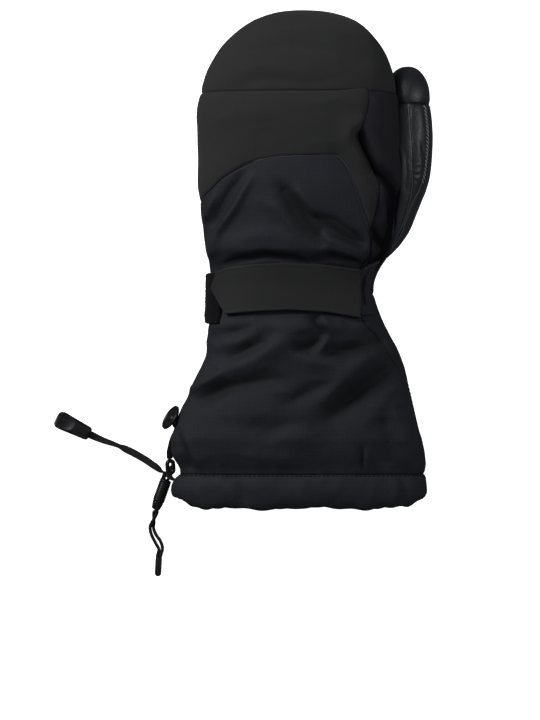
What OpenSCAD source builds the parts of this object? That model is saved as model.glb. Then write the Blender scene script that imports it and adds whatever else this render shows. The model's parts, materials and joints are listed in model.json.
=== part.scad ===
// Insulated ski mitten with a long gauntlet, for the left hand. It lies palm down.
// +X is the thumb side, +Y the fingertips, +Z the back of the hand, and z = 0 the surface it lies on.

/* [Overall size] */
// Length from the hem to the fingertips
mitten_length = 322; // [316:1:328]
// Width of the gauntlet at its widest, just above the hem
hem_width = 166; // [162:1:170]
// Width at the wrist, under the strap
wrist_width = 108; // [106:1:110]
// Width of the pocket for the four fingers
hand_width = 121; // [119:1:122]
// Height of the open hem as the mitten lies
hem_height = 48; // [46:1:50]
// Height at the wrist
wrist_height = 50; // [48:1:52]
// Height over the knuckles
hand_height = 60; // [58:1:61]

/* [Layers] */
// Thickness of the outer shell fabric and leather
shell_t = 1.4; // [1.2:0.1:1.5]
// Thickness of the waterproof insert
insert_t = 0.5; // [0.4:0.1:0.6]
// Thickness of the insulation around the hand
fill_t = 3; // [2.4:0.2:3.2]
// Thickness of the lining
lining_t = 1; // [0.8:0.1:1.1]

/* [Hem and drawcord] */
// Height of the hem channel
hem_band = 22; // [20:1:24]
// Diameter of the elastic drawcord
cord_d = 1.9; // [1.7:0.1:2]
// Diameter of the barrel cord lock
lock_d = 7.3; // [7.2:0.1:7.6]
// Length of the cord lock with its end cap
lock_len = 20.6; // [20:0.1:21]
// Width of the flat pull tape
tape_w = 5.5; // [5:0.5:6]

/* [Wrist strap] */
// Width of the wrist strap
strap_w = 31; // [29:0.5:32]
// Thickness of the wrist strap
strap_t = 1.6; // [1.2:0.1:2]
// Diameter of the keeper button on the gauntlet's edge
button_d = 17; // [15:0.5:18]

/* [Hidden] */
$fn = 48;

// The model's origin is under the middle of the mitten and its cord lock.
origin = [-4.5, 159.7, 0];

seam_gap = 0.3;         // half of the gap between two panels
layer_gap = 0.7;        // gap between two layers
fullness = 2.2;         // exponent of the rounded cross-sections
dome_y = 250;           // where the fingertips start to close
dome_end = 0.95;        // share of the dome that the rings cover, before the flat end facet
tip_drop = 10;          // how far the fingertips' middle sinks
tip_shift = 5;          // how far it moves towards the thumb
insert_d = shell_t + layer_gap;
fill_d = insert_d + insert_t + layer_gap;
lining_d = fill_d + fill_t + layer_gap;
thumb_fill_t = 2;
thumb_lining_d = fill_d + thumb_fill_t + layer_gap;
gauntlet_lining_d = 3;
hem_deep = 5.2;         // depth of the hem channel from its outer to its inner face

// Cross-sections from the hem to the knuckles: y, left edge, right edge, underside, top
sections = [
    [0, -0.482 * hem_width, 0.48 * hem_width, 0, 0.96 * hem_height],
    [14, -0.497 * hem_width, 0.494 * hem_width, 0, hem_height],
    [25, -0.468 * hem_width, 0.494 * hem_width, 0.3, hem_height + 1],
    [38, -0.5 * hem_width, 0.492 * hem_width, 0.6, hem_height + 3],
    [52, -0.479 * hem_width, 0.473 * hem_width, 1.5, wrist_height + 2],
    [80, -0.412 * hem_width, 0.43 * hem_width, 3, wrist_height + 3],
    [105, -0.556 * wrist_width, 0.588 * wrist_width, 4, wrist_height + 4],
    [123, -0.537 * wrist_width, 0.5 * wrist_width, 4, wrist_height + 4],
    [142, -0.532 * wrist_width, 0.463 * wrist_width, 4, wrist_height + 4],
    [160, -0.532 * wrist_width, 0.477 * wrist_width, 3.4, wrist_height + 6],
    [185, -0.5 * hand_width, 0.446 * hand_width, 2.4, hand_height],
    [215, -0.525 * hand_width, 0.455 * hand_width, 2, hand_height + 2],
    [250, -0.545 * hand_width, 0.455 * hand_width, 2, hand_height + 2]];

// Thumb rings from its root to where its tip closes: ring, outer x, y, inner x, y, middle z, half height
thumb_rings = [
    [1, 75, 189, 56, 229, 18.4, 17.2],
    [2, 84.5, 213.5, 56, 234, 19.4, 18.4],
    [3, 87, 240, 55.5, 243, 19, 18],
    [4, 85.5, 262, 56.5, 262, 18, 16.6]];
thumb_tip_len = 24;

// The window that the thumb leaves the hand through, as angles round the section and lengths along it
window_phi = [302, 353];
window_v = [160, 224];

// ---- Surfaces: a point of each is given by an angle, a length along it and a depth below its face ----

function power(x, p) = sign(x) * pow(abs(x), p);
function unit(p) = p / norm(p);
function mix(a, b, t) = a + (b - a) * t;

function span(list, y, i = 0) = (i >= len(list) - 2 || y < list[i + 1][0]) ? i : span(list, y, i + 1);
function slope(list, i, k) =
    let(lo = max(i - 1, 0), hi = min(i + 1, len(list) - 1))
    (list[hi][k] - list[lo][k]) / (list[hi][0] - list[lo][0]);
function value(list, y, k) =
    let(i = span(list, y), h = list[i + 1][0] - list[i][0], t = (y - list[i][0]) / h)
    (2 * t ^ 3 - 3 * t ^ 2 + 1) * list[i][k] + (t ^ 3 - 2 * t ^ 2 + t) * h * slope(list, i, k)
    + (3 * t ^ 2 - 2 * t ^ 3) * list[i + 1][k] + (t ^ 3 - t ^ 2) * h * slope(list, i + 1, k);

// Angle 0 is the thumb side, 90 the back of the hand, 180 the little finger's side and 270 the palm.
function hand_point(phi, v, d) =
    let(y = min(v, dome_y), dome = max(v - dome_y, 0) / (mitten_length - dome_y),
        lift = 90 * dome, narrow = pow(cos(lift), 0.8),
        left = value(sections, y, 1), right = value(sections, y, 2),
        low = value(sections, y, 3), high = value(sections, y, 4))
    [(left + right) / 2 + tip_shift * sin(lift) ^ 2
        + ((right - left) / 2 - d) * narrow * power(cos(phi), 2 / fullness),
     y + (mitten_length - dome_y - d) * sin(lift),
     (low + high) / 2 - tip_drop * sin(lift) ^ 2
        + ((high - low) / 2 - d) * narrow * power(sin(phi), 2 / fullness)];

// Where a point of the back, seen from above, lies on that surface
function on_back(x, y) =
    let(left = value(sections, y, 1), right = value(sections, y, 2),
        share = (2 * x - left - right) / (right - left))
    [acos(power(min(share, 0.999), fullness / 2)), y];

function window_point(turn, d) =
    let(inset = 0.5 + 1.1 * d, deg = inset / 0.8)
    hand_point((window_phi[0] + window_phi[1]) / 2
            + ((window_phi[1] - window_phi[0]) / 2 - deg) * power(sin(turn), 0.25),
        (window_v[0] + window_v[1]) / 2 - ((window_v[1] - window_v[0]) / 2 - inset) * power(cos(turn), 0.25),
        d + 0.2);

function thumb_ring_point(turn, ring, d) =
    let(w = min(ring, 4), lift = 90 * max(ring - 4, 0), narrow = pow(cos(lift), 0.8),
        outer = [value(thumb_rings, w, 1), value(thumb_rings, w, 2)],
        inner = [value(thumb_rings, w, 3), value(thumb_rings, w, 4)],
        half = norm(outer - inner) / 2, side = unit(outer - inner), ahead = [-side[1], side[0]],
        flat = (outer + inner) / 2 + side * ((half - d) * narrow * cos(turn))
            + ahead * (thumb_tip_len - d) * sin(lift))
    [flat[0], flat[1], value(thumb_rings, w, 5) - 3 * sin(lift) ^ 2
        + (value(thumb_rings, w, 6) - d) * narrow * sin(turn)];

// Ring 0 is the window's edge, 1 to 4 are the rings of the list, and 4 to 5 closes the tip.
function thumb_point(turn, ring, d) =
    ring >= 1 ? thumb_ring_point(turn, ring, d)
    : mix(window_point(turn, d), thumb_ring_point(turn, 1, d), ring);

// ---- Grids of angle and length that the panels are cut to ----

function lattice(us, vs) = [for (v = vs) [for (u = us) [u, v]]];
function steps(a, b, n) = [for (i = [0:n]) a + (b - a) * i / n];

function curve(list, m) = concat([for (i = [0:len(list) - 2], k = [0:m - 1])
    let(t = k / m, a = list[max(i - 1, 0)], b = list[i], c = list[i + 1],
        e = list[min(i + 2, len(list) - 1)])
    b + (c - a) * t / 2 + (2 * a - 5 * b + 4 * c - e) * t ^ 2 / 2 + (3 * b - a - 3 * c + e) * t ^ 3 / 2],
    [list[len(list) - 1]]);
function trimmed(list, gap) = let(n = len(list) - 1)
    [for (i = [0:n]) i == 0 ? list[0] + unit(list[1] - list[0]) * gap
        : i == n ? list[n] + unit(list[n - 1] - list[n]) * gap : list[i]];
// A panel between two seams that have the same number of points
function between(seam_a, seam_b, rows, gap = seam_gap) =
    let(a = trimmed(seam_a, gap), b = trimmed(seam_b, gap))
    [for (j = [0:rows]) [for (i = [0:len(a) - 1])
        let(way = b[i] - a[i], long = norm(way)) a[i] + way * (gap + (long - 2 * gap) * j / rows) / long]];

// ---- Solids made from those grids ----

// One layer of a grid, from depth near to depth far. joined closes it round, capped closes its last ring,
// and hole = [first column, last column, first row, last row] leaves a window out.
module layer(point, grid, near, far, joined = false, capped = false, hole = [-1, -1, -1, -1]) {
    nx = len(grid[0]);
    rows = len(grid) - 1;
    cols = joined ? nx : nx - 1;
    count = nx * (rows + 1);
    turned = cross(grid[0][1] - grid[0][0], grid[1][0] - grid[0][0]) < 0;
    function solid_cell(i, j) = j >= 0 && j < rows && (joined || (i >= 0 && i < cols))
        && !(i >= hole[0] && i < hole[1] && j >= hole[2] && j < hole[3]);
    function id(i, j, side) = side * count + j * nx + (i % nx);
    function quad(a, b, c, e) = [[a, b, c], [a, c, e]];
    function wall(i0, j0, i1, j1) = quad(id(i1, j1, 0), id(i0, j0, 0), id(i0, j0, 1), id(i1, j1, 1));
    cells = [for (j = [0:rows - 1], i = [0:cols - 1]) if (solid_cell(i, j)) [i, j]];
    ring = rows * nx;
    faces = concat(
        [for (c = cells) let(i = c[0], j = c[1])
            each quad(id(i, j, 0), id(i + 1, j, 0), id(i + 1, j + 1, 0), id(i, j + 1, 0))],
        [for (c = cells) let(i = c[0], j = c[1])
            each quad(id(i, j, 1), id(i, j + 1, 1), id(i + 1, j + 1, 1), id(i + 1, j, 1))],
        [for (c = cells) let(i = c[0], j = c[1]) if (!solid_cell(i, j - 1)) each wall(i, j, i + 1, j)],
        [for (c = cells) let(i = c[0], j = c[1])
            if (!solid_cell(i, j + 1) && !(capped && j == rows - 1)) each wall(i + 1, j + 1, i, j + 1)],
        [for (c = cells) let(i = c[0], j = c[1], before = joined ? (i + nx - 1) % nx : i - 1)
            if (!solid_cell(before, j)) each wall(i, j + 1, i, j)],
        [for (c = cells) let(i = c[0], j = c[1], after = joined ? (i + 1) % nx : i + 1)
            if (!solid_cell(after, j)) each wall(i + 1, j, i + 1, j + 1)],
        capped ? [for (i = [1:nx - 2]) each [[ring, ring + i, ring + i + 1],
            [count + ring, count + ring + i + 1, count + ring + i]]] : []);
    polyhedron(
        points = concat([for (row = grid) for (q = row) point(q[0], q[1], near)],
            [for (row = grid) for (q = row) point(q[0], q[1], far)]),
        faces = turned ? [for (f = faces) [f[0], f[2], f[1]]] : faces, convexity = 8);
}

// A tube swept along a route, with rings across it. wide and thick make it flat, turn twists it.
module tube(route, wide, thick, turn = [0], sides = 8, up = [0, 0, 1]) {
    n = len(route);
    points = [for (i = [0:n - 1])
        let(ahead = unit(route[min(i + 1, n - 1)] - route[max(i - 1, 0)]), side = unit(cross(ahead, up)),
            rise = cross(side, ahead), a = turn[min(i, len(turn) - 1)],
            s = side * cos(a) + rise * sin(a), r = rise * cos(a) - side * sin(a))
        for (k = [0:sides - 1])
            let(c = 360 * (k + 0.5) / sides, reach = sides == 4 ? sqrt(2) : 1)
            route[i] + s * (wide / 2 * reach * cos(c)) + r * (thick / 2 * reach * sin(c))];
    polyhedron(points = points, convexity = 8, faces = concat(
        [for (i = [0:n - 2], k = [0:sides - 1])
            let(a = i * sides + k, b = i * sides + (k + 1) % sides)
            each [[a, b, b + sides], [a, b + sides, a + sides]]],
        [for (k = [1:sides - 2]) [0, k + 1, k]],
        [for (k = [1:sides - 2]) let(e = (n - 1) * sides) [e, e + k, e + k + 1]]));
}

// Puts a child, made along +Z from the origin, on a line that starts at a point and runs in a direction
module along(start, dir) {
    translate(start) rotate([0, acos(dir[2] / norm(dir)), atan2(dir[1], dir[0])]) children();
}

// ---- Seams, as angle and length. Those of the back are given as they lie seen from above ----

left_seam = 186;
under_seam = -42;
strap_y = 141;
wrist_seam = 139;
knuckle_seam = 262;
strap_corner = on_back(39, wrist_seam);
gauntlet_seam = curve([[-10, hem_band + 0.5], [-9, 45], [-6, 66], [2, 84], on_back(62.3, 94.4),
    on_back(54, 107.9), on_back(43.9, 117), on_back(39.8, 126), strap_corner], 2);
arch_seam = curve([on_back(47, 184), on_back(41.6, 192), on_back(37, 207), on_back(32.7, 219.5),
    on_back(27.6, 227), on_back(12, 229), on_back(-6, 229), on_back(-32, 224), on_back(-49, 214),
    on_back(-60, 201), [left_seam, 190]], 2);
crease = curve([on_back(45.5, wrist_seam), on_back(48, 160), on_back(50.5, 176), on_back(51, 192),
    on_back(50, 207), on_back(46.5, 220), on_back(39.3, 242), [47, knuckle_seam]], 2);
function beside(seam, phi) = [for (p = seam) [phi, p[1]]];

module shell_panel(grid) {
    layer(function(u, v, d) hand_point(u, v, d), grid, 0, shell_t);
}
module gauntlet_back_panel() {
    color("#1b1c22") shell_panel(between(gauntlet_seam, beside(gauntlet_seam, left_seam), 18));
}
module gauntlet_side_panel() {
    color("#202128") shell_panel(between(beside(gauntlet_seam, under_seam), gauntlet_seam, 5));
}
module gauntlet_palm_panel() {
    color("#1b1c22") shell_panel(between(beside(gauntlet_seam, left_seam),
        beside(gauntlet_seam, 360 + under_seam), 10));
}
module wrist_back_panel() {
    n = len(arch_seam) - 1;
    foot = [for (i = [0:n]) [mix(strap_corner[0], left_seam, i / n), wrist_seam]];
    color("#1f2027") shell_panel(between(foot, arch_seam, 7));
}
module hand_back_panel() {
    leg = [for (i = [0:3]) mix(strap_corner, arch_seam[0], i / 4)];
    inner = concat(leg, arch_seam);
    top = len(inner) - len(crease);
    outer = concat(crease, [for (i = [1:top]) [mix(47, left_seam, i / top), knuckle_seam]]);
    color("#17171a") shell_panel(between(inner, outer, 5));
}
module index_gusset() {
    color("#202128") shell_panel(between(beside(crease, -6), crease, 5));
}

palm_us = [left_seam + 0.3, 197, 209, 221, 233, 245, 257, 268, 279, 291, 302, 312, 323, 334, 344, 353.7];
palm_vs = [wrist_seam + 0.3, 150, 160, 173, 186, 199, 212, 224, 236, 249, knuckle_seam - 0.3];
module palm_panel() {
    color("#15151a") layer(function(u, v, d) hand_point(u, v, d), lattice(palm_us, palm_vs),
        0, shell_t, hole = [10, 15, 2, 7]);
}
module palm_patch() {
    color("#101014") layer(function(u, v, d) let(p = hand_point(u, v, -0.4)) [p[0], p[1], p[2] * d],
        lattice(steps(247, 291, 6), steps(176, 246, 5)), 0, 1);
}
module fingertip_cap() {
    last = mix(dome_y, mitten_length, dome_end);
    color("#17171a") layer(function(u, v, d) hand_point(u, v, d),
        lattice(steps(0, 348, 29), steps(knuckle_seam + 0.3, last, 8)), 0, shell_t,
        joined = true, capped = true);
}

ring_us = [0, 9, 18, 28, 40, 54, 70, 90, 110, 126, 140, 152, 162, 171, 180, 189, 198, 208, 220, 234, 250, 267,
    284, 300, 314, 328, 342, 354];
hand_vs = concat([150.5, 160, 176, 192, 208, 224, 237],
    steps(dome_y, mix(dome_y, mitten_length, dome_end), 6));
module hand_layer(near, thick) {
    layer(function(u, v, d) hand_point(u, v, d), lattice(ring_us, hand_vs), near, near + thick,
        joined = true, capped = true, hole = [23, 27, 1, 5]);
}
module insert_hand() { color("#8fa3ad") hand_layer(insert_d, insert_t); }
module insulation_hand() { color("#e6e3da") hand_layer(fill_d, fill_t); }
module lining_hand() { color("#3a3b40") hand_layer(lining_d, lining_t); }

module thumb_layer(rings, near, thick, from = 0, to = 360, sides = 16, whole = true, closed = true) {
    turns = whole ? steps(from, to - 360 / sides, sides - 1) : steps(from, to, sides / 2);
    layer(function(u, v, d) thumb_point(u, v, d), lattice(turns, rings), near, near + thick,
        joined = whole, capped = closed);
}
thumb_all = concat([0, 0.33, 0.66, 1, 1.5, 2, 3, 4], steps(4.25, 4 + dome_end, 3));
module thumb_gusset() {
    color("#1c1c22") thumb_layer([0, 0.33, 0.66, 1, 1.5, 1.98], 0, shell_t, sides = 24, closed = false);
}
module thumb_back() {
    color("#14141a") thumb_layer([2.02, 2.5, 3, 3.5, 3.98], 0, shell_t, 1, 179, 20, false, false);
}
module thumb_front() {
    color("#14141a") thumb_layer([2.02, 2.5, 3, 3.5, 3.98], 0, shell_t, 181, 359, 20, false, false);
}
module thumb_tip() { color("#14141a") thumb_layer(steps(4.02, 4 + dome_end, 5), 0, shell_t, sides = 20); }
module insert_thumb() { color("#8fa3ad") thumb_layer(thumb_all, insert_d, insert_t); }
module insulation_thumb() { color("#e6e3da") thumb_layer(thumb_all, fill_d, thumb_fill_t); }
module lining_thumb() { color("#3a3b40") thumb_layer(thumb_all, thumb_lining_d, lining_t); }

// ---- Gauntlet lining, wrist elastic and hem channel ----

module gauntlet_lining() {
    color("#26262c") layer(function(u, v, d) hand_point(u, v, d),
        lattice(steps(0, 345, 23), [hem_band + 0.8, 36, 52, 68, 84, 100, 116, 132, 146]),
        gauntlet_lining_d, gauntlet_lining_d + lining_t, joined = true);
}
module lining_binding() {
    color("#101012") layer(function(u, v, d) hand_point(u, v, d),
        lattice(ring_us, [146.5, 150]), 2, lining_d + lining_t, joined = true);
}
module wrist_elastic() {
    color("#d8d8d4") layer(function(u, v, d) hand_point(u, v, d),
        lattice(steps(200, 340, 14), [128, 136, 143]), 1.8, 2.6);
}

exit_phi = 184;         // where the drawcord leaves the hem channel
exit_half = 5;          // half of the slit there, as an angle
channel_wall = 1;       // thickness of the channel's fabric
module hem_channel() {
    us = steps(exit_phi + exit_half, exit_phi + 360 - exit_half, 46);
    w = channel_wall;
    rim = hem_band;
    profile = [[0, 0], [0, rim], [w, rim], [w, w], [hem_deep - w, w], [hem_deep - w, rim],
        [hem_deep, rim], [hem_deep, 0]];
    k = len(profile);
    last = (len(us) - 1) * k;
    ends = [[0, 1, 2], [0, 2, 3], [0, 3, 4], [0, 4, 7], [7, 4, 5], [7, 5, 6]];
    color("#1b1c22") polyhedron(
        points = [for (u = us) for (p = profile) hand_point(u, p[1], p[0])],
        faces = concat(
            [for (i = [0:len(us) - 2], j = [0:k - 1])
                let(a = i * k + j, b = i * k + (j + 1) % k) each [[a, a + k, b + k], [a, b + k, b]]],
            ends, [for (f = ends) [last + f[0], last + f[2], last + f[1]]]),
        convexity = 10);
}

// ---- Strap, its anchor and its loop patch ----

loop_d = -0.4;
loop_t = 1.1;
hook_d = loop_d - loop_t - 0.3;
hook_t = 0.6;
strap_d = hook_d - hook_t - 0.5;
strap_low = strap_y - strap_w / 2;
strap_high = strap_y + strap_w / 2;
strap_start = 42.2;
module outside(grid, near, thick) {
    layer(function(u, v, d) hand_point(u, v, d), grid, near - thick, near);
}
module strap_loop_patch() {
    color("#0c0c0d") outside(lattice(steps(128, 206, 10), steps(120, 152, 3)), loop_d, loop_t);
}
module strap_anchor() {
    color("#19191c") outside(lattice(steps(22, 40.8, 3), steps(strap_low + 2, strap_high + 1, 2)),
        loop_d, 3.2);
}
module wrist_strap() {
    low = [for (u = steps(strap_start, 137, 7)) [u, strap_low]];
    high = [for (u = steps(strap_start, 144, 7)) [u, strap_high]];
    tip = 157;
    blunt = [for (j = [0:4]) let(t = j / 4) [for (i = [0:8]) i < 8 ? mix(low[i], high[i], t)
        : [t < 0.5 ? mix(138, tip, 2 * t) : mix(tip, 147, 2 * t - 1), mix(strap_low, strap_high, t)]]];
    color("#121214") outside(blunt, strap_d, strap_t);
}
module strap_hook_pad() {
    color("#0a0a0a") outside(lattice(steps(112, 136, 3), steps(strap_low + 3, strap_high - 3, 2)),
        hook_d, hook_t);
}

// ---- Keeper button on the gauntlet's edge ----

button_at = [-83.3, 59.2, 27];
button_dir = unit([-0.835, 0.53, 0.14]);
button_t = 2.2;
post_len = 3;
module keeper_button() {
    color("#101011") along(button_at, button_dir) rotate_extrude()
        polygon([[0, -button_t / 2], [button_d / 2 - 0.8, -button_t / 2], [button_d / 2, -button_t / 2 + 0.8],
            [button_d / 2, button_t / 2], [button_d / 2 - 1.4, button_t / 2], [button_d / 2 - 1.4, 0.3],
            [0, 0.3]]);
}
module keeper_post() {
    color("#101011") along(button_at - button_dir * (button_t / 2 + 0.02 + post_len), button_dir)
        cylinder(d = 4.4, h = post_len);
}
module keeper_backing() {
    color("#9a9a9a") layer(function(u, v, d) hand_point(u, v, d),
        lattice(steps(170, 182, 3), steps(54, 62, 2)), 2.1, 2.7);
}

// ---- Anchor tab and its ring beside the drawcord's exit ----

ring_at = [-83.1, 26.9, 22];
ring_wire = 1.5;
ring_long = 4;          // extra length of the ring's straight sides
module anchor_ring() {
    color("#1a1a1c") translate(ring_at) rotate([0, 12, 3]) difference() {
        union() {
            for (y = [-ring_long / 2, ring_long / 2]) translate([0, y, -ring_wire / 2])
                cylinder(r = 3.2, h = ring_wire, $fn = 32);
            translate([-3.2, -ring_long / 2, -ring_wire / 2]) cube([6.4, ring_long, ring_wire]);
        }
        for (y = [-ring_long / 2, ring_long / 2]) translate([0, y, -2]) cylinder(r = 1.7, h = 4, $fn = 32);
        translate([-1.7, -ring_long / 2, -2]) cube([3.4, ring_long, 4]);
    }
}
module lock_anchor_tab() {
    color("#121214") tube([[-84.6, 43, 25], [-84.7, 39, 24.6], [-84.4, 35.5, 23.6], [-83.4, 32.6, 22.4]],
        4, 1.2, turn = [80], sides = 4);
}

// ---- Drawcord, cord lock and tails ----

cord_r = cord_d / 2;
lock_r = lock_d / 2;
bore_r = 2.9;
cap_len = 5.4;
lock_top = [-86.4, 17.9, 5.6];
lock_up = unit([0.338, 0.938, 0.08]);      // along the lock, from its end cap to its mouth
strand_x = 1;           // half of the spacing of the two strands in the lock
strand_y = -1.15;       // how far they lie from its axis
jaw_y = 0.05;           // flat face of the jaw
bar_y = 1.7;
bar_z = 3.3;
lock_side = [-sin(atan2(lock_up[1], lock_up[0])), cos(atan2(lock_up[1], lock_up[0])), 0];
lock_down = cross(lock_side, lock_up);
function in_lock(x, y, z) = lock_top + lock_down * x + lock_side * y + lock_up * z;

module hem_drawcord() {
    route = [for (u = steps(exit_phi + 3.4, exit_phi + 356.6, 52))
        mix(hand_point(u, channel_wall, hem_deep / 2), hand_point(u, hem_band, hem_deep / 2), 0.5)];
    color("#0d0d0d") tube(route, cord_d, cord_d, up = [0, 1, 0]);
}
// The two strands cross over a quarter turn between the hem and the lock: their shared middle and its offset
link_route = [[-80, 18.4, 22.2], [-82.9, 19.6, 21], [-84, 21.4, 17], [-83.9, 24, 11.5], [-83.1, 25.6, 8.4],
    [-82.7, 24.6, 6.6]];
link_offset = [[0, 0, 1.2], [-0.8, 0, 0.9], [-1.1, -0.4, 0], [-0.7, -0.9, 0], [-0.2, -1.1, 0.4],
    [0, -0.6, 1]];
module cord_link(x) {
    spread = -x / strand_x;
    route = [for (i = [0:len(link_route) - 1]) link_route[i] + link_offset[i] * spread];
    bent = curve(concat(route, [in_lock(x, strand_y, 4)]), 3);
    color("#0d0d0d") tube(concat(bent, [in_lock(x, strand_y, 0.3)]), cord_d, cord_d, up = [1, 0.3, 0.2]);
}
module cord_link_upper() { cord_link(-strand_x); }
module cord_link_lower() { cord_link(strand_x); }

module in_barrel() {
    along(lock_top, lock_up) children();
}
module lock_housing() {
    color("#1c1c1e") in_barrel() difference() {
        translate([0, 0, cap_len - lock_len]) cylinder(r = lock_r, h = lock_len - cap_len);
        translate([0, 0, -lock_len]) cylinder(r = bore_r, h = 2 * lock_len);
        for (k = [0:3]) translate([0, 0, -3 - 3 * k]) rotate_extrude()
            translate([lock_r, 0]) circle(d = 0.8, $fn = 16);
    }
}
module lock_end_cap() {
    color("#161618") in_barrel() difference() {
        union() {
            translate([0, 0, -lock_len]) cylinder(r1 = 2.9, r2 = lock_r, h = cap_len - 0.1);
            translate([0, 0, cap_len - lock_len - 0.1]) cylinder(r = bore_r - 0.15, h = 1.2);
        }
        for (x = [-strand_x, strand_x]) translate([x, strand_y, -lock_len - 1])
            cylinder(r = cord_r + 0.2, h = 10);
    }
}
spring_r = 1.1;
spring_base = cap_len - lock_len + 1.2;
module lock_spring() {
    color("#b8b8b8") in_barrel() translate([0, 1.35, spring_base]) difference() {
        cylinder(r = spring_r, h = 4.7);
        translate([0, 0, -1]) cylinder(r = spring_r - 0.35, h = 8);
    }
}
module release_jaw() {
    plunger = 9;
    color("#27272a") in_barrel() {
        difference() {
            translate([0, 0, -plunger]) cylinder(r = bore_r - 0.15, h = plunger + 0.5);
            translate([-5, jaw_y - 10, -plunger - 1]) cube([10, 10, plunger + 4]);
        }
        difference() {
            translate([-3.3, jaw_y + 0.6, 0.2]) cube([6.6, 2.7, 4.6]);
            translate([-2.4, jaw_y - 1, 1.3]) cube([4.8, 6, 6]);
        }
        translate([-3, bar_y, bar_z]) rotate([0, 90, 0]) cylinder(r = 0.7, h = 6);
    }
}

bar = in_lock(0, bar_y, bar_z);
pull_lean = 21;         // angle of the tape to the lock's side where it leaves the bar
pull_dir = lock_side * cos(pull_lean) + lock_up * sin(pull_lean);
pull_near = [-136.2, 47.6, 4.8];
pull_far = [-158, 58.4, 4.8];
module pull_tape() {
    route = [bar + 3 * pull_dir, [-91.6, 25.4, 5], [-95, 27.7, 3.9], [-98.5, 30.1, 2.9], [-102, 32.3, 2.2],
        [-107, 35.1, 1.8], [-112, 37.6, 1.6], [-117, 39.9, 1.7], [-122, 41.8, 2], [-127, 43.5, 2.7],
        [-131, 45.2, 3.6], pull_near - 0.25 * unit(pull_far - pull_near)];
    color("#131314") union() {
        tube(curve(route, 2), tape_w, 1, turn = [90, 88, 78, 62, 46, 30, 16, 6, 0], sides = 4);
        in_barrel() translate([0, bar_y, bar_z]) rotate([pull_lean, 0, 0]) {
            translate([-2.1, 1.2, -0.5]) cube([4.2, 2.4, 1]);
            translate([-2.1, 0, 0]) rotate([0, 90, 0]) difference() {
                cylinder(r = 1.65, h = 4.2);
                translate([0, 0, -1]) cylinder(r = 0.95, h = 7);
            }
        }
    }
}
pull_thick = 9;
module rubber_pull() {
    way = pull_far - pull_near;
    // Share of the length, width, thickness
    shapes = [[0, 7.6, 6.6], [0.04, 9.2, 8.2], [0.2, 9.8, pull_thick], [0.55, 10.8, pull_thick],
        [0.85, 11.8, pull_thick], [0.96, 11, 8.2], [1, 9, 6.4]];
    side = unit(cross(way, [0, 0, 1]));
    sides = 16;
    points = [for (s = shapes) for (k = [0:sides - 1]) pull_near + way * s[0]
        + side * (s[1] / 2 * power(cos(360 * k / sides), 0.7))
        + [0, 0, s[2] / 2 * power(sin(360 * k / sides), 0.7)]];
    n = len(shapes) - 1;
    color("#17171a") polyhedron(points = points, convexity = 4, faces = concat(
        [for (i = [0:n - 1], k = [0:sides - 1]) let(a = i * sides + k, b = i * sides + (k + 1) % sides)
            each [[a, b, b + sides], [a, b + sides, a + sides]]],
        [for (k = [1:sides - 2]) [0, k + 1, k]],
        [for (k = [1:sides - 2]) [n * sides, n * sides + k, n * sides + k + 1]]));
}

sleeve_from = [-91.2, -33.2, 2.3];
sleeve_to = [-91.7, -43, 2.3];
sleeve_d = 3.6;
tail_a = [[-93.9, -3, 5], [-95, -7, 4.2], [-97, -11, 2.6], [-97.6, -14, 1.5], [-96.4, -18, 1],
    [-93.6, -23, 1], [-91.2, -27, 1], [-91.4, -30, 1.6]];
tail_b = [[-93.5, -3, 3], [-93.4, -7, 2.2], [-94, -11, 1.4], [-94.4, -14, 1], [-93.4, -18, 1],
    [-90.6, -23, 1], [-88.5, -27, 1], [-89.2, -30, 1.6]];
module tail(x, route, end_x) {
    last = [end_x, sleeve_from[1] + 0.25, sleeve_from[2]];
    bent = curve(concat([in_lock(x, strand_y, -lock_len - 0.6)], route, [last]), 2);
    color("#0d0d0d") tube(concat([for (z = [-0.3, -7, -14, -20]) in_lock(x, strand_y, z)], bent),
        cord_d, cord_d);
}
module cord_tail_a() { tail(-strand_x, tail_a, sleeve_from[0] - 1); }
module cord_tail_b() { tail(strand_x, tail_b, sleeve_from[0] + 1); }
module tail_sleeve() {
    way = sleeve_to - sleeve_from;
    color("#0b0b0c") along(sleeve_from, way) union() {
        cylinder(d = 2 * cord_d + 0.6, h = norm(way));
        translate([0, 0, norm(way)]) intersection() {
            sphere(d = 2 * cord_d + 0.6);
            translate([-4, -4, 0]) cube([8, 8, 8]);
        }
    }
}

module set_down() { translate(-origin) children(); }

set_down() gauntlet_back_panel();
set_down() gauntlet_side_panel();
set_down() gauntlet_palm_panel();
set_down() hem_channel();
set_down() wrist_back_panel();
set_down() hand_back_panel();
set_down() index_gusset();
set_down() palm_panel();
set_down() palm_patch();
set_down() fingertip_cap();
set_down() thumb_gusset();
set_down() thumb_back();
set_down() thumb_front();
set_down() thumb_tip();
set_down() wrist_elastic();
set_down() insert_hand();
set_down() insert_thumb();
set_down() insulation_hand();
set_down() insulation_thumb();
set_down() lining_hand();
set_down() lining_thumb();
set_down() gauntlet_lining();
set_down() lining_binding();
set_down() strap_loop_patch();
set_down() strap_anchor();
set_down() wrist_strap();
set_down() strap_hook_pad();
set_down() keeper_button();
set_down() keeper_post();
set_down() keeper_backing();
set_down() lock_anchor_tab();
set_down() anchor_ring();
set_down() hem_drawcord();
set_down() cord_link_upper();
set_down() cord_link_lower();
set_down() lock_housing();
set_down() lock_end_cap();
set_down() lock_spring();
set_down() release_jaw();
set_down() pull_tape();
set_down() rubber_pull();
set_down() cord_tail_a();
set_down() cord_tail_b();
set_down() tail_sleeve();
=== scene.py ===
import json
import math

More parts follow.
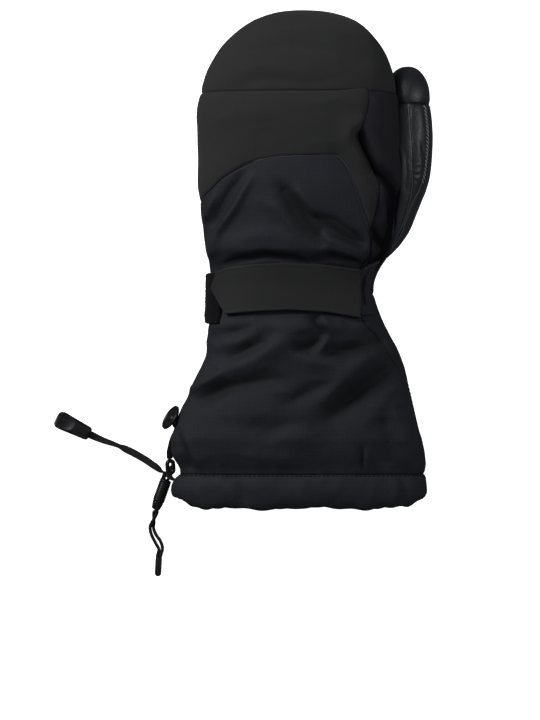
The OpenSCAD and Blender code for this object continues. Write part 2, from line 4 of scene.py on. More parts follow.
import bpy
import numpy as np
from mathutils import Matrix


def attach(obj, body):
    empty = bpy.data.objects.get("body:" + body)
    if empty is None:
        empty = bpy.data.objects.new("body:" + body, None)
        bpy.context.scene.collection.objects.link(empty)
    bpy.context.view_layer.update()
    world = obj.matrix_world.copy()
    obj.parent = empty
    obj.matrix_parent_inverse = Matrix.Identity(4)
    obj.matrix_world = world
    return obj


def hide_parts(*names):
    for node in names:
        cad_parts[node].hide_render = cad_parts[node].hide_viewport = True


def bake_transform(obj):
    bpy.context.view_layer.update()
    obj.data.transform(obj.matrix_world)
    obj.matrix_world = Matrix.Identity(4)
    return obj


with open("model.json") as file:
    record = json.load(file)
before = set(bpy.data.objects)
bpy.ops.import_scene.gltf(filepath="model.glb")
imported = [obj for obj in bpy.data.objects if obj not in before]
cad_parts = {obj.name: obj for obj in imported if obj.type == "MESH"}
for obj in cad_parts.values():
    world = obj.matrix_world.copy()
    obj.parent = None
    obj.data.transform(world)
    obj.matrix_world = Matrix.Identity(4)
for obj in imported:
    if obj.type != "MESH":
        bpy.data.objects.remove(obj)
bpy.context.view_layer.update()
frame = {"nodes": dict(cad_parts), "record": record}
print("frame loaded")

# Pieces are drawn in millimetres from the middle of the hem, the camera and the lamps in metres

origin = np.array([-4.5, 159.7, 0.0])
view = {"x": -0.0140, "y": -0.0635, "height": 2.617, "focal": 200}
eye = np.array([view["x"] * 1000 + origin[0], view["y"] * 1000 + origin[1], view["height"] * 1000])
midPlane = 2600.0  # how far below the eye the mitten's middle lies


# From drawing millimetres to the frame's metres
def toRow(points):
    return (np.asarray(points, float) - origin) / 1000


def colour(red, green, blue):
    share = np.array([red, green, blue]) / 255
    return (*(np.where(share < 0.04045, share / 12.92, ((share + 0.055) / 1.055) ** 2.4)), 1.0)


scene = bpy.context.scene
cameraData = bpy.data.cameras.new("camera")
cameraData.lens = view["focal"]
camera = bpy.data.objects.new("camera", cameraData)
camera.location = (view["x"], view["y"], view["height"])
scene.collection.objects.link(camera)
scene.camera = camera
scene.view_settings.view_transform = "Standard"

# Watts of the lamps, then strengths of the sky above and below and of the white table
light = {"key": 30.0, "side": 6.5, "low": 1.5, "sky": 0.36, "below": 0.1, "table": 1.05}


def lamp(name, place, size, power, target=(0.0, -0.06, 0.03)):
    data = bpy.data.lights.new(name, "AREA")
    data.energy = power
    data.size = size
    thing = bpy.data.objects.new(name, data)
    thing.location = place
    way = np.array(place) - np.array(target)
    thing.rotation_euler = (
        math.atan2(math.hypot(way[0], way[1]), way[2]), 0, math.atan2(way[1], way[0]) + math.pi / 2)
    scene.collection.objects.link(thing)


lamp("keyLamp", (-1.05, 0.85, 0.78), 0.4, light["key"])
lamp("sideLamp", (1.1, 0.25, 0.7), 0.5, light["side"])
lamp("lowLamp", (-0.3, -1.2, 0.5), 0.7, light["low"])

world = bpy.data.worlds.new("sky")
scene.world = world
world.use_nodes = True
skyNodes, skyLinks = world.node_tree.nodes, world.node_tree.links
skyWay, skyParts = skyNodes.new("ShaderNodeTexCoord"), skyNodes.new("ShaderNodeSeparateXYZ")
skyShare = skyNodes.new("ShaderNodeMapRange")
skyShare.inputs["From Min"].default_value = -0.1
skyShare.inputs["From Max"].default_value = 0.8
skyShare.inputs["To Min"].default_value = light["below"]
skyShare.inputs["To Max"].default_value = light["sky"]
skyLinks.new(skyWay.outputs["Generated"], skyParts.inputs["Vector"])
skyLinks.new(skyParts.outputs["Z"], skyShare.inputs["Value"])
skyLinks.new(skyShare.outputs[0], skyNodes["Background"].inputs["Strength"])
skyNodes["Background"].inputs["Color"].default_value = (0.92, 0.95, 1.0, 1)

bpy.ops.mesh.primitive_plane_add(size=5)
table = bpy.context.object
table.name = "table"
table.location = (0, 0, -0.0015)
white = bpy.data.materials.new("tableWhite")
white.use_nodes = True
white.node_tree.nodes["Principled BSDF"].inputs["Base Color"].default_value = (0.8, 0.8, 0.8, 1)
white.node_tree.nodes["Principled BSDF"].inputs["Emission Color"].default_value = (1, 1, 1, 1)
white.node_tree.nodes["Principled BSDF"].inputs["Emission Strength"].default_value = light["table"]
table.data.materials.append(white)
table.visible_diffuse = False
table.visible_glossy = False
print("camera and light set")


shineSockets = {"specular": "Specular IOR Level", "sheen": "Sheen Weight", "sheenRough": "Sheen Roughness",
                "coat": "Coat Weight", "coatRough": "Coat Roughness", "metal": "Metallic"}
# One of the common values sets how strongly the painted shade darkens a finish's colour
common = {"blotSize": 60, "wear": 0.18, "paintedShadeStrength": 0.72, "ripstopThread": 0.5}


# period, relief and sizes are in millimetres, and shine holds the shader's constants
def finish(name, base, rough, pattern="plain", period=1.0, relief=0.05, vary=0.25, bright=0.0, **shine):
    made = bpy.data.materials.new(name)
    made.use_nodes = True
    nodes, links = made.node_tree.nodes, made.node_tree.links
    shader = nodes["Principled BSDF"]

    def calc(kind, *values):
        node = nodes.new("ShaderNodeMath")
        node.operation = kind
        for i, value in enumerate(values):
            if isinstance(value, (int, float)):
                node.inputs[i].default_value = value
            else:
                links.new(value, node.inputs[i])
        return node.outputs[0]

    def cloud(size):
        node = nodes.new("ShaderNodeTexNoise")
        node.inputs["Scale"].default_value = 1000 / size
        node.inputs["Detail"].default_value = 3.0
        links.new(place, node.inputs["Vector"])
        return node.outputs["Fac"]

    def cells(size, kind="DISTANCE_TO_EDGE"):
        node = nodes.new("ShaderNodeTexVoronoi")
        node.feature = kind
        node.inputs["Scale"].default_value = 1000 / size
        links.new(place, node.inputs["Vector"])
        return node.outputs["Distance"]

    def wave(value, length):
        return calc("SINE", calc("MULTIPLY", value, 2 * math.pi / length))

    def line(value, spacing, width):
        off = calc("PINGPONG", value, spacing / 2)
        return calc("MAXIMUM", calc("SUBTRACT", 1.0, calc("DIVIDE", off, width)), 0.0)

    place = nodes.new("ShaderNodeTexCoord").outputs["Object"]
    chart = nodes.new("ShaderNodeUVMap")
    chart.uv_map = "cloth"
    split = nodes.new("ShaderNodeSeparateXYZ")
    links.new(chart.outputs["UV"], split.inputs["Vector"])
    across, along = split.outputs["X"], split.outputs["Y"]

    if pattern == "ripstop":
        grid = calc("MAXIMUM", line(across, period, 0.28), line(along, period, 0.28))
        thread = calc("MULTIPLY", wave(across, common["ripstopThread"]), wave(along, common["ripstopThread"]))
        uneven = calc("MULTIPLY", cloud(period * 0.9), 0.7)
        height = calc("ADD", calc("MULTIPLY", grid, uneven), calc("MULTIPLY", thread, 0.25))
        height = calc("ADD", height, calc("MULTIPLY", cloud(8.0), 4.0))
        tint = calc("MULTIPLY", grid, uneven)
    elif pattern == "weave":
        height = calc("MULTIPLY", wave(across, period), wave(along, period))
        tint = height
    elif pattern == "ribs":
        fuzz = calc("MULTIPLY", cloud(0.4), 0.6)
        height = calc("ADD", calc("MULTIPLY", wave(along, period), 0.7), fuzz)
        tint = height
    elif pattern == "braid":
        one = wave(calc("ADD", across, along), period)
        two = wave(calc("SUBTRACT", across, along), period)
        height = calc("MAXIMUM", one, two)
        tint = height
    elif pattern == "leather":
        edge = calc("MINIMUM", cells(period), 0.18)
        fine = calc("MULTIPLY", cloud(period * 0.35), 0.16)
        grain = calc("ADD", calc("MULTIPLY", edge, 3.0), fine)
        height = calc("ADD", grain, calc("MULTIPLY", cloud(7.0), 1.1))
        tint = edge
    elif pattern == "pile":
        height = calc("ADD", cells(period, "F1"), cloud(period * 0.6))
        tint = height
    else:
        height = cloud(period)
        tint = height

    bump = nodes.new("ShaderNodeBump")
    bump.inputs["Strength"].default_value = 1.0
    bump.inputs["Distance"].default_value = relief / 1000
    links.new(height, bump.inputs["Height"])
    links.new(bump.outputs["Normal"], shader.inputs["Normal"])

    blot = calc("SUBTRACT", cloud(common["blotSize"]), 0.5)
    share = calc("ADD", calc("ADD", 1.0, calc("MULTIPLY", blot, vary)), calc("MULTIPLY", tint, bright))
    # Painted shade: a point attribute darkens the base colour where shade falls on the back's folds, crease
    # and strap edges
    paintedShade = nodes.new("ShaderNodeAttribute")
    paintedShade.attribute_name = "paintedShade"
    lit = calc("SUBTRACT", 1.0, calc("MULTIPLY", paintedShade.outputs["Fac"], common["paintedShadeStrength"]))
    share = calc("MULTIPLY", share, lit)
    mixer = nodes.new("ShaderNodeVectorMath")
    mixer.operation = "SCALE"
    mixer.inputs[0].default_value = base[:3]
    links.new(share, mixer.inputs["Scale"])
    links.new(mixer.outputs["Vector"], shader.inputs["Base Color"])
    worn = calc("ADD", rough, calc("MULTIPLY", blot, common["wear"]))
    links.new(worn, shader.inputs["Roughness"])
    for key, value in shine.items():
        shader.inputs[shineSockets[key]].default_value = value
    return made


finishes = {
    "ripstop": finish("ripstopNylon", colour(22, 23, 28), 0.72, "ripstop", 2.6, 0.11, 0.35, bright=0.9,
                      specular=0.14),
    "softshell": finish("softshellFabric", colour(32, 32, 32), 0.8, "weave", 0.7, 0.03, 0.15, bright=0.06,
                        specular=0.06, sheen=0.03, sheenRough=0.6),
    "gusset": finish("gussetFabric", colour(28, 27, 31), 0.8, "weave", 0.7, 0.03, 0.15, bright=0.06,
                     specular=0.05),
    "leather": finish("goatLeather", colour(19, 21, 25), 0.42, "leather", 1.5, 0.12, 0.3, bright=0.3,
                      specular=0.32, coat=0.04, coatRough=0.35),
    "elastic": finish("wovenElastic", colour(215, 215, 212), 0.8, "ribs", 1.2, 0.1),
    "membrane": finish("laminatedFilm", colour(170, 178, 184), 0.45, "plain", 3.0, 0.1),
    "wadding": finish("loftedFibre", colour(226, 224, 218), 0.95, "pile", 2.0, 0.3),
    "lining": finish("brushedLining", colour(44, 44, 48), 0.92, "pile", 0.8, 0.12, 0.3, bright=0.2,
                     specular=0.1, sheen=0.25, sheenRough=0.4),
    "webbing": finish("wovenTape", colour(17, 17, 18), 0.75, "weave", 0.9, 0.1, bright=0.2,
                      specular=0.2),
    "loop_pile": finish("loopPile", colour(7, 7, 9), 0.95, "pile", 0.7, 0.1, bright=0.3,
                        specular=0.05, sheen=0.03, sheenRough=0.5),
    "strap_face": finish("strapFace", colour(20, 20, 20), 0.72, "weave", 0.55, 0.012, 0.1, bright=0.04,
                         specular=0.2),
    "hook_face": finish("mouldedHooks", colour(16, 16, 16), 0.6, "weave", 0.8, 0.3),
    "moulded_plastic": finish("mouldedPlastic", colour(5, 5, 6), 0.36, "plain", 0.5, 0.01, 0.2,
                              specular=0.22),
    "stiffener": finish("fibreSheet", colour(150, 150, 150), 0.8),
    "elastic_cord": finish("braidedCord", colour(9, 9, 10), 0.8, "braid", 1.1, 0.12, bright=0.35,
                           specular=0.2),
    "spring_steel": finish("drawnWire", colour(190, 190, 192), 0.3, metal=1.0),
    "soft_rubber": finish("matteRubber", colour(7, 7, 9), 0.46, "plain", 0.6, 0.015, 0.2,
                          specular=0.2),
    "darkThread": finish("darkThread", colour(9, 9, 11), 0.8, "plain", 0.4, 0.02, 0.1, specular=0.1),
    "thread": finish("stitchThread", colour(27, 28, 31), 0.7, "plain", 0.4, 0.02, 0.1, specular=0.25),
    # Seam edges: the light colour paints the highlight that falls along the edge of the folded cloth
    "seamEdgeHighlight": finish("seamEdgeHighlight", colour(44, 44, 50), 0.6, "plain", 0.6, 0.03, 0.2, specular=0.3),
    # Whip-stitch thread in a light colour that paints the highlights on the black thread
    "highlightThread": finish("highlightedWhipThread", colour(118, 120, 126), 0.4, "plain", 0.4, 0.02, 0.1),
    # Rolled leather edges: glossy, and the light colour also paints the highlight along the seams
    "rolledEdgeHighlight": finish("rolledEdgeHighlight", colour(52, 54, 60), 0.35, "leather", 1.2, 0.05, 0.2,
                         specular=0.5),
}
slotOf = {row["node"]: row["material_slot"] for row in frame["record"]["subparts"]}
for nodeName, node in frame["nodes"].items():
    node.data.materials.clear()
    node.data.materials.append(finishes[slotOf[nodeName]])
print("finishes made")

# The mitten's own surface is a point for an angle round it, 90 on top, and a length along it

shape = {"fullness": 2.2, "domeStart": 250.0, "length": 322.0, "tipDrop": 10.0, "tipShift": 5.0,
         "hemCorner": 7.0, "hemWave": (0.7, 0.5)}
# Length from the hem, left edge, right edge, underside, top
stations = np.array([
    [0, -79.5, 79.8, 0.6, 45], [8, -81.0, 81.2, 0.4, 47], [16, -81.0, 81.6, 0.4, 48],
    [25, -76.2, 81.0, 0.4, 47], [34, -80.8, 80.2, 0.6, 50], [45, -82.0, 79.0, 0.9, 52.5],
    [55, -79.3, 76.6, 1.4, 52], [66, -74.4, 74.2, 2, 52], [83, -65.8, 69.6, 3, 52.5],
    [98, -59.3, 64.8, 3.6, 53], [109, -58.6, 59.2, 4, 53], [121, -57.4, 53.4, 4, 53],
    [135, -56.9, 49.4, 4, 53], [146, -56.8, 48.8, 4, 53.5], [156, -57.2, 52.8, 3.6, 55],
    [165, -58.2, 58.6, 3.2, 57], [178, -60.0, 61.6, 2.8, 59.5], [200, -62.8, 63.8, 2.3, 61.5],
    [223, -64.0, 65.2, 2, 62], [242, -64.8, 65.2, 2, 62], [250, -65.4, 64.6, 2, 62]])


# A smooth curve through one column of a list of rows
def follow(rows, at, column):
    places, values = rows[:, 0], rows[:, column]
    before = np.maximum(np.arange(len(rows)) - 1, 0)
    after = np.minimum(np.arange(len(rows)) + 1, len(rows) - 1)
    slopes = (values[after] - values[before]) / (places[after] - places[before])
    i = np.clip(np.searchsorted(places, at, side="right") - 1, 0, len(rows) - 2)
    h = places[i + 1] - places[i]
    t = (at - places[i]) / h
    return ((2 * t**3 - 3 * t**2 + 1) * values[i] + (t**3 - 2 * t**2 + t) * h * slopes[i]
            + (3 * t**2 - 2 * t**3) * values[i + 1] + (t**3 - t**2) * h * slopes[i + 1])


def smooth(x, low, high):
    t = np.clip((x - low) / (high - low), 0, 1)
    return t * t * (3 - 2 * t)


def power(x, p):
    return np.sign(x) * np.abs(x) ** p


# A point of the hand and gauntlet, at an angle in degrees and a length from the hem
def hand(phi, v):
    phi, v = np.broadcast_arrays(np.asarray(phi, float), np.asarray(v, float))
    start = shape["domeStart"]
    y = np.minimum(v, start)
    lift = math.pi / 2 * np.clip((v - start) / (shape["length"] - start), 0, 1)
    narrow = np.cos(lift) ** 0.8
    left, right, low, high = (follow(stations, y, k) for k in (1, 2, 3, 4))
    turn = np.radians(phi)
    long, short = shape["hemWave"]
    uneven = (long * np.sin(turn * 9 + 1) + short * np.sin(turn * 23)) * np.exp(-v / 8)
    corner = shape["hemCorner"] * np.abs(np.cos(turn)) ** 10 * np.exp(-(v / 6) ** 2) + uneven
    return np.stack([
        (left + right) / 2 + shape["tipShift"] * np.sin(lift) ** 2
        + (right - left) / 2 * narrow * power(np.cos(turn), 2 / shape["fullness"]),
        y + (shape["length"] - start) * np.sin(lift) + corner,
        (low + high) / 2 - shape["tipDrop"] * np.sin(lift) ** 2
        + (high - low) / 2 * narrow * power(np.sin(turn), 2 / shape["fullness"])], -1)


# Ring, outer edge's place, inner edge's place, middle's height, half of the thickness
thumbRings = np.array([
    [1, 75, 189, 56, 229, 19.5, 18], [2, 84.0, 213.5, 56, 234, 20.5, 19.4], [3, 86.4, 240, 55.5, 243, 20, 19],
    [4, 85, 262, 56.5, 262, 18.5, 17]])
thumbShape = {"rootAngles": (302, 353), "rootLengths": (160, 224), "tip": 24.0, "ball": (2.6, -1.9, 0)}


# A point of the thumb, which grows out of the hand between rings 0 and 1 and is round at ring 5
def thumb(turn, ring):
    turn, ring = np.broadcast_arrays(np.asarray(turn, float), np.asarray(ring, float))
    a = np.radians(turn)
    w = np.clip(ring, 1, 4)
    lift = math.pi / 2 * np.clip(ring - 4, 0, 1)
    narrow = np.cos(lift) ** 0.8
    outer = np.stack([follow(thumbRings, w, 1), follow(thumbRings, w, 2)], -1)
    inner = np.stack([follow(thumbRings, w, 3), follow(thumbRings, w, 4)], -1)
    half = np.linalg.norm(outer - inner, axis=-1) / 2
    side = (outer - inner) / (2 * half[..., None])
    ahead = np.stack([-side[..., 1], side[..., 0]], -1)
    flat = (outer + inner) / 2 + side * (half * narrow * np.cos(a))[..., None]
    flat = flat + ahead * (thumbShape["tip"] * np.sin(lift))[..., None]
    rings = np.stack([flat[..., 0], flat[..., 1], follow(thumbRings, w, 5) - 3 * np.sin(lift) ** 2
                      + follow(thumbRings, w, 6) * narrow * np.sin(a)], -1)
    (lowPhi, highPhi), (lowV, highV) = thumbShape["rootAngles"], thumbShape["rootLengths"]
    root = hand((lowPhi + highPhi) / 2 + (highPhi - lowPhi) / 2 * power(np.sin(a), 0.25),
                (lowV + highV) / 2 - (highV - lowV) / 2 * power(np.cos(a), 0.25))
    t = np.clip(ring, 0, 1)[..., None]
    ball = np.array(thumbShape["ball"]) * (4 * t * (1 - t) * np.clip(np.cos(a), 0, 1)[..., None] ** 2)
    return root * (1 - t) + rings * t + ball


# The outward direction of a surface
def facing(surface, a, b, stepA, stepB):
    alongA = surface(a + stepA, b) - surface(a - stepA, b)
    alongB = surface(a, b + stepB) - surface(a, b - stepB)
    out = np.cross(alongB, alongA)
    return out / np.maximum(np.linalg.norm(out, axis=-1, keepdims=True), 1e-9)


def handFacing(phi, v):
    v = np.clip(v, 0, shape["length"] - 0.8)
    return facing(hand, np.asarray(phi, float), np.asarray(v, float), 0.6, 0.5)


def thumbFacing(turn, ring):
    return facing(thumb, np.asarray(turn, float), np.clip(ring, 0.02, 4.97), 1.0, 0.02)


# Where a point shows from the camera, as a place at the height of the mitten's middle
def seen(p):
    grow = midPlane / (eye[2] - p[..., 2])
    return eye[:2] + (p[..., :2] - eye[:2]) * grow[..., None]


# Angle and length of places on the back, given as they show from the camera
def onBack(places, lift=0.0):
    target = np.asarray(places, float)
    at = target.copy()
    for _ in range(6):
        left, right = follow(stations, at[..., 1], 1), follow(stations, at[..., 1], 2)
        share = np.clip((2 * at[..., 0] - left - right) / (right - left), -0.9999, 0.9999)
        phi = np.degrees(np.arccos(power(share, shape["fullness"] / 2)))
        p = hand(phi, at[..., 1]) + handFacing(phi, at[..., 1]) * lift
        at = at + (target - seen(p)) * 0.8
    return np.stack([phi, at[..., 1]], -1)


# Smooth noise from -1 to 1 at a point, with features of that size
def ripple(p, size, seed):
    grid = np.random.default_rng(seed).uniform(-1, 1, (24, 24, 24))
    q = p / np.asarray(size, float) + 500
    low = np.floor(q).astype(int)
    t = q - low
    t = t * t * (3 - 2 * t)
    total = 0
    for corner in range(8):
        bits = [corner & 1, corner >> 1 & 1, corner >> 2 & 1]
        weight = np.prod([t[..., k] if bits[k] else 1 - t[..., k] for k in range(3)], axis=0)
        total = total + weight * grid[tuple((low[..., k] + bits[k]) % 24 for k in range(3))]
    return total


soft = {"folds": 1.0, "wrinkle": 0.75, "fine": 0.28, "strapBulge": 3.4, "strapMiddle": 141.2,
        "strapHalf": 15.3, "wristPuff": 1.6, "strapPress": 0.5, "gather": 0.8, "hemPucker": 0.7,
        "stitchPull": 0.45, "hemWave": 0.9, "creaseSwell": 2.4, "creaseDepth": 6.5, "creaseWidth": 2.8,
        "softTop": 3.2, "handFloor": -1.15}
# Strengths of the painted shade that darkens the back's colour
shade = {"fold": 0.22, "crease": 1.35, "leg": 0.6, "aboveStrap": 0.3, "belowStrap": 0.35, "most": 1.28}
# Folds as they show from the camera: the line, its height in millimetres and its half width
folds = [
    ([(7, 128), (-9.4, 109.2), (-27, 96.9), (-50, 86)], 4.2, 7.5),
    ([(-49, 87), (-58, 81), (-69, 75)], 3.6, 3.0),
    ([(-44, 82), (-58, 74), (-68, 68)], -2.6, 5.5),
    ([(-10, 85), (-24, 83), (-42, 79.5), (-60, 70)], -3.4, 5.5),
    ([(-20, 108.5), (-31, 104), (-45, 97)], -3.2, 4.2),
    ([(-24, 115), (-38, 108), (-54, 104)], 2.0, 4.5),
    ([(-28, 119), (-45, 114)], -1.6, 3.6),
    ([(9, 127), (12.5, 119), (18, 112)], -3.8, 3.6),
    ([(15, 124), (21, 112)], 2.0, 3.0),
    ([(-4, 103), (6, 104), (15, 110)], -3.8, 4.2),
    ([(12.7, 100.5), (16, 105), (19, 111)], 3.6, 2.4),
    ([(15.5, 100.5), (30, 102), (44, 105), (55, 110)], -4.6, 5.2),
    ([(55, 106), (44, 98.5), (34.1, 90), (24, 79), (14, 68)], 4.4, 7.0),
    ([(-2, 99), (14, 94), (30, 94)], 2.4, 6.0),
    ([(62, 94), (47, 82), (31, 69), (14, 54)], -4.6, 7.5),
    ([(26, 83), (8, 76), (-12, 66)], -2.8, 5.0),
    ([(62, 78), (50, 64), (40, 52)], 1.8, 7.0),
    ([(-77.7, 48), (-73, 37), (-68.5, 25)], -2.2, 2.8),
    ([(-74, 49), (-69.5, 38), (-64, 27)], 1.4, 3.2),
    ([(44.6, 39), (44.2, 25)], 2.2, 1.7),
    ([(41.0, 40), (41.4, 25)], -1.7, 2.2),
    ([(62, 64), (67, 48), (70, 30)], 1.8, 5.5),
    ([(53, 60), (59, 44), (60, 28)], -1.8, 5.0),
    ([(-2, 56), (-18, 51), (-33, 53)], -1.6, 5.5),
    ([(-12, 44), (4, 46), (22, 53)], 1.3, 6.0),
    ([(2, 58), (14, 50), (18, 38)], -1.0, 5.0),
    ([(-44, 62), (-30, 60), (-14, 64)], 1.2, 7.0),
    ([(-36, 36), (-14, 32), (6, 34)], 0.9, 6.0),
    ([(-40, 17), (-36, 10), (-34, 2)], -1.3, 3.0),
    ([(-46, 15), (-42, 8), (-41, 1)], 0.9, 2.6),
    ([(28, 18), (36, 11), (40, 3)], -0.9, 3.6),
    ([(66, 20), (69, 12), (68, 5)], -1.4, 2.4),
    ([(60, 19), (63, 12), (62, 5)], 0.9, 2.4),
    ([(5, 18), (2, 10), (4, 3)], 0.7, 4.0),
    ([(-30, 215), (-40, 196.3), (-50.4, 180.7), (-55.6, 162)], 2.9, 2.3),
    ([(-53.6, 202.2), (-58.2, 187.2)], 1.8, 1.9),
    ([(-34.5, 219), (-46.4, 200.2), (-54.5, 183)], -2.6, 4.0),
    ([(-11, 208), (-2, 197), (6, 185), (18, 172)], -5.0, 4.2),
    ([(-1, 208), (8, 196), (14, 188)], 2.2, 3.6),
    ([(-16, 200), (-8, 188), (2, 177)], 1.8, 4.2),
    ([(10, 189), (22, 184), (32, 177), (43, 171)], -5.0, 3.8),
    ([(13, 178), (26, 171), (40, 162)], 3.0, 3.4),
    ([(-52, 155), (-44, 159), (-37, 161.8), (-22, 165), (-3, 163), (5, 159)], -4.6, 2.3),
    ([(7, 161), (20, 164.5), (31, 163), (39, 159.5)], -3.6, 2.4),
    ([(-42, 174), (-20, 178), (2, 174)], 1.5, 6.0),
    ([(-28, 200), (-14, 196), (-4, 200)], 0.8, 6.0),
    ([(57, 202), (58.5, 189), (59, 176)], -2.8, 2.0),
    ([(53, 209), (54.5, 195), (54, 183)], 1.8, 1.8),
    ([(47.5, 183), (50, 175), (55, 169)], -2.8, 2.4),
    ([(43, 162), (48, 165), (53, 170)], 1.4, 1.7),
    ([(44.5, 159), (50, 158), (56, 163)], -2.4, 3.0),
    ([(20, 236), (34, 226), (44, 214)], -0.9, 6.0),
    ([(-48, 272), (-22, 279), (8, 276), (30, 280)], -1.1, 3.4),
    ([(-50, 280), (-24, 287), (10, 284)], 1.1, 3.8),
    ([(-34, 296), (-8, 301), (24, 298), (44, 288)], -1.0, 3.2),
    ([(4, 262), (26, 266), (50, 258)], 0.9, 4.2),
    ([(-56, 250), (-40, 258), (-18, 256)], 0.8, 4.5),
    ([(36, 306), (10, 312), (-20, 308)], 0.8, 3.4),
]
crease = [(46.5, 139), (51, 159), (57, 172), (61.2, 184), (63, 198), (60, 208), (55, 215), (48.4, 222),
          (39.3, 242)]
legLine = [(50, 162), (54, 178), (57, 192), (57, 202)]


# Distance to a line and how far along it the nearest point is, from 0 to 1
def nearLine(places, line):
    line = np.asarray(line, float)
    lengths = np.linalg.norm(np.diff(line, axis=0), axis=1)
    starts = np.concatenate([[0], np.cumsum(lengths)])
    best, share = np.full(places.shape[:-1], 1e9), np.zeros(places.shape[:-1])
    for k, length in enumerate(lengths):
        way = (line[k + 1] - line[k]) / length
        t = np.clip((places - line[k]) @ way, 0, length)
        far = np.linalg.norm(places - line[k] - t[..., None] * way, axis=-1)
        share = np.where(far < best, (starts[k] + t) / starts[-1], share)
        best = np.minimum(far, best)
    return best, share


def foldHeight(places, strokes):
    total = np.zeros(places.shape[:-1])
    for line, height, width in strokes:
        far, share = nearLine(places, line)
        fade = 0.25 + 0.75 * np.sin(math.pi * share) ** 0.6
        total += soft["folds"] * height * np.exp(-(far / width) ** 1.6) * fade
    return total


# Painted shade: how far the colour of a point of the back is darkened where shade falls, in fold valleys, the
# crease, the leg and beside the strap
def paintedShadeOnBack(v, p, n):
    at = seen(p)
    top = smooth(n[..., 2], -0.1, 0.4)
    deep = foldHeight(at, [fold for fold in folds if fold[1] < 0])
    far, _ = nearLine(at, crease)
    legFar, _ = nearLine(at, legLine)
    above = v - soft["strapMiddle"] - soft["strapHalf"]
    below = above + 2 * soft["strapHalf"]
    dark = -shade["fold"] * deep + shade["crease"] * np.exp(-(far / 2.6) ** 2) * smooth(v, 150, 168)
    dark += shade["leg"] * np.exp(-(legFar / 8) ** 4)
    dark += shade["aboveStrap"] * np.exp(-((above - 1) / 2.0) ** 2)
    dark += shade["belowStrap"] * np.exp(-((below + 1.5) / 2.5) ** 2)
    return np.clip(dark, 0, shade["most"]) * top


# Height of the folds, wrinkles and gathers above the smooth surface
def handRelief(phi, v, p, n):
    top = smooth(n[..., 2], -0.1, 0.4)
    away = np.abs(v - soft["strapMiddle"]) - soft["strapHalf"]
    free = smooth(away, -1.0, 3.5)
    back = smooth(phi, 22, 48) * (1 - smooth(phi, 150, 172))
    gauntlet = 1 - smooth(v, 118, 150)
    wrist = smooth(v, 158, 170) * (1 - smooth(v, 205, 232))
    h = foldHeight(seen(p), folds) * top * (1.08 + 0.4 * wrist)
    h += soft["wristPuff"] * wrist * top
    h += (soft["wrinkle"] * (0.55 + 0.7 * gauntlet)) * ripple(p, (26, 17, 26), 3)
    h += (soft["fine"] * (0.6 + 0.8 * gauntlet)) * (1 - 2 * np.abs(ripple(p, (11, 8, 11), 5)))
    peak = np.where(v > soft["strapMiddle"], 12.0, 7.5)
    bulge = soft["strapBulge"] * np.exp(-((away - peak) / (0.2 * peak + 3.3)) ** 2)
    bulge = bulge * (0.7 + 0.4 * ripple(p, 15, 8))
    h = h * (1 - back * (1 - free)) + bulge * back * (away > -6)
    h -= soft["strapPress"] * back * (1 - free)
    gather = np.exp(-((v - 136) / 12) ** 2) * (1 - top) * smooth(-n[..., 2], 0.2, 0.7)
    h += gather * soft["gather"] * ripple(p, (3.2, 14, 30), 9)
    hem = np.exp(-((v - 22) / 7) ** 2)
    h += hem * soft["hemPucker"] * ripple(p, (5, 8, 9), 12)
    tug = 0.5 + 0.5 * np.cos(p[..., 0] * 2 * math.pi / 3.0)
    h -= soft["stitchPull"] * np.exp(-((v - 22.4) / 1.3) ** 2) * tug
    h += np.exp(-v / 10) * soft["hemWave"] * ripple(p, (9, 14, 40), 14)
    down = smooth(-n[..., 2], 0.3, 0.9)
    h = h * (1 - 0.45 * down)
    far, _ = nearLine(seen(p), crease)
    h += soft["creaseSwell"] * np.exp(-((far - 7) / 6) ** 2) * top * smooth(v, 206, 224)
    h -= soft["creaseDepth"] * np.exp(-(far / soft["creaseWidth"]) ** 2) * top * smooth(v, 150, 168)
    most = soft["softTop"]
    h = np.where(h > most, most + 2.0 * (1 - np.exp(-(h - most) / 2.0)), h)
    return np.where(v > 146, np.maximum(h, soft["handFloor"]), h)


thumbFolds = [
    ([(72, 226), (75, 224), (77.5, 225.5)], -0.9, 0.9),
    ([(72.5, 222), (75.5, 220.5), (78, 221.5)], -1.0, 0.9),
    ([(73, 218), (76, 216.5), (79, 217)], -0.9, 0.9),
    ([(73, 213.5), (77, 212.5)], -0.7, 0.9),
    ([(66, 236), (68, 226), (67, 212)], 0.7, 1.8),
    ([(69.5, 232), (70.5, 218), (69, 204)], -0.6, 1.6),
    ([(76, 240), (78, 232), (77, 228)], 0.6, 1.5),
    ([(80, 236), (82, 226), (81, 219)], -0.7, 1.4),
    ([(64, 196), (64.5, 184), (61, 174)], 0.6, 1.8),
]


def thumbRelief(turn, ring, p, n):
    h = foldHeight(seen(p), thumbFolds) * smooth(n[..., 2], 0.0, 0.4)
    h += 0.35 * ripple(p, (9, 16, 9), 21) + 0.12 * (1 - 2 * np.abs(ripple(p, (5, 8, 6), 22)))
    return h * smooth(ring, 0, 0.4)


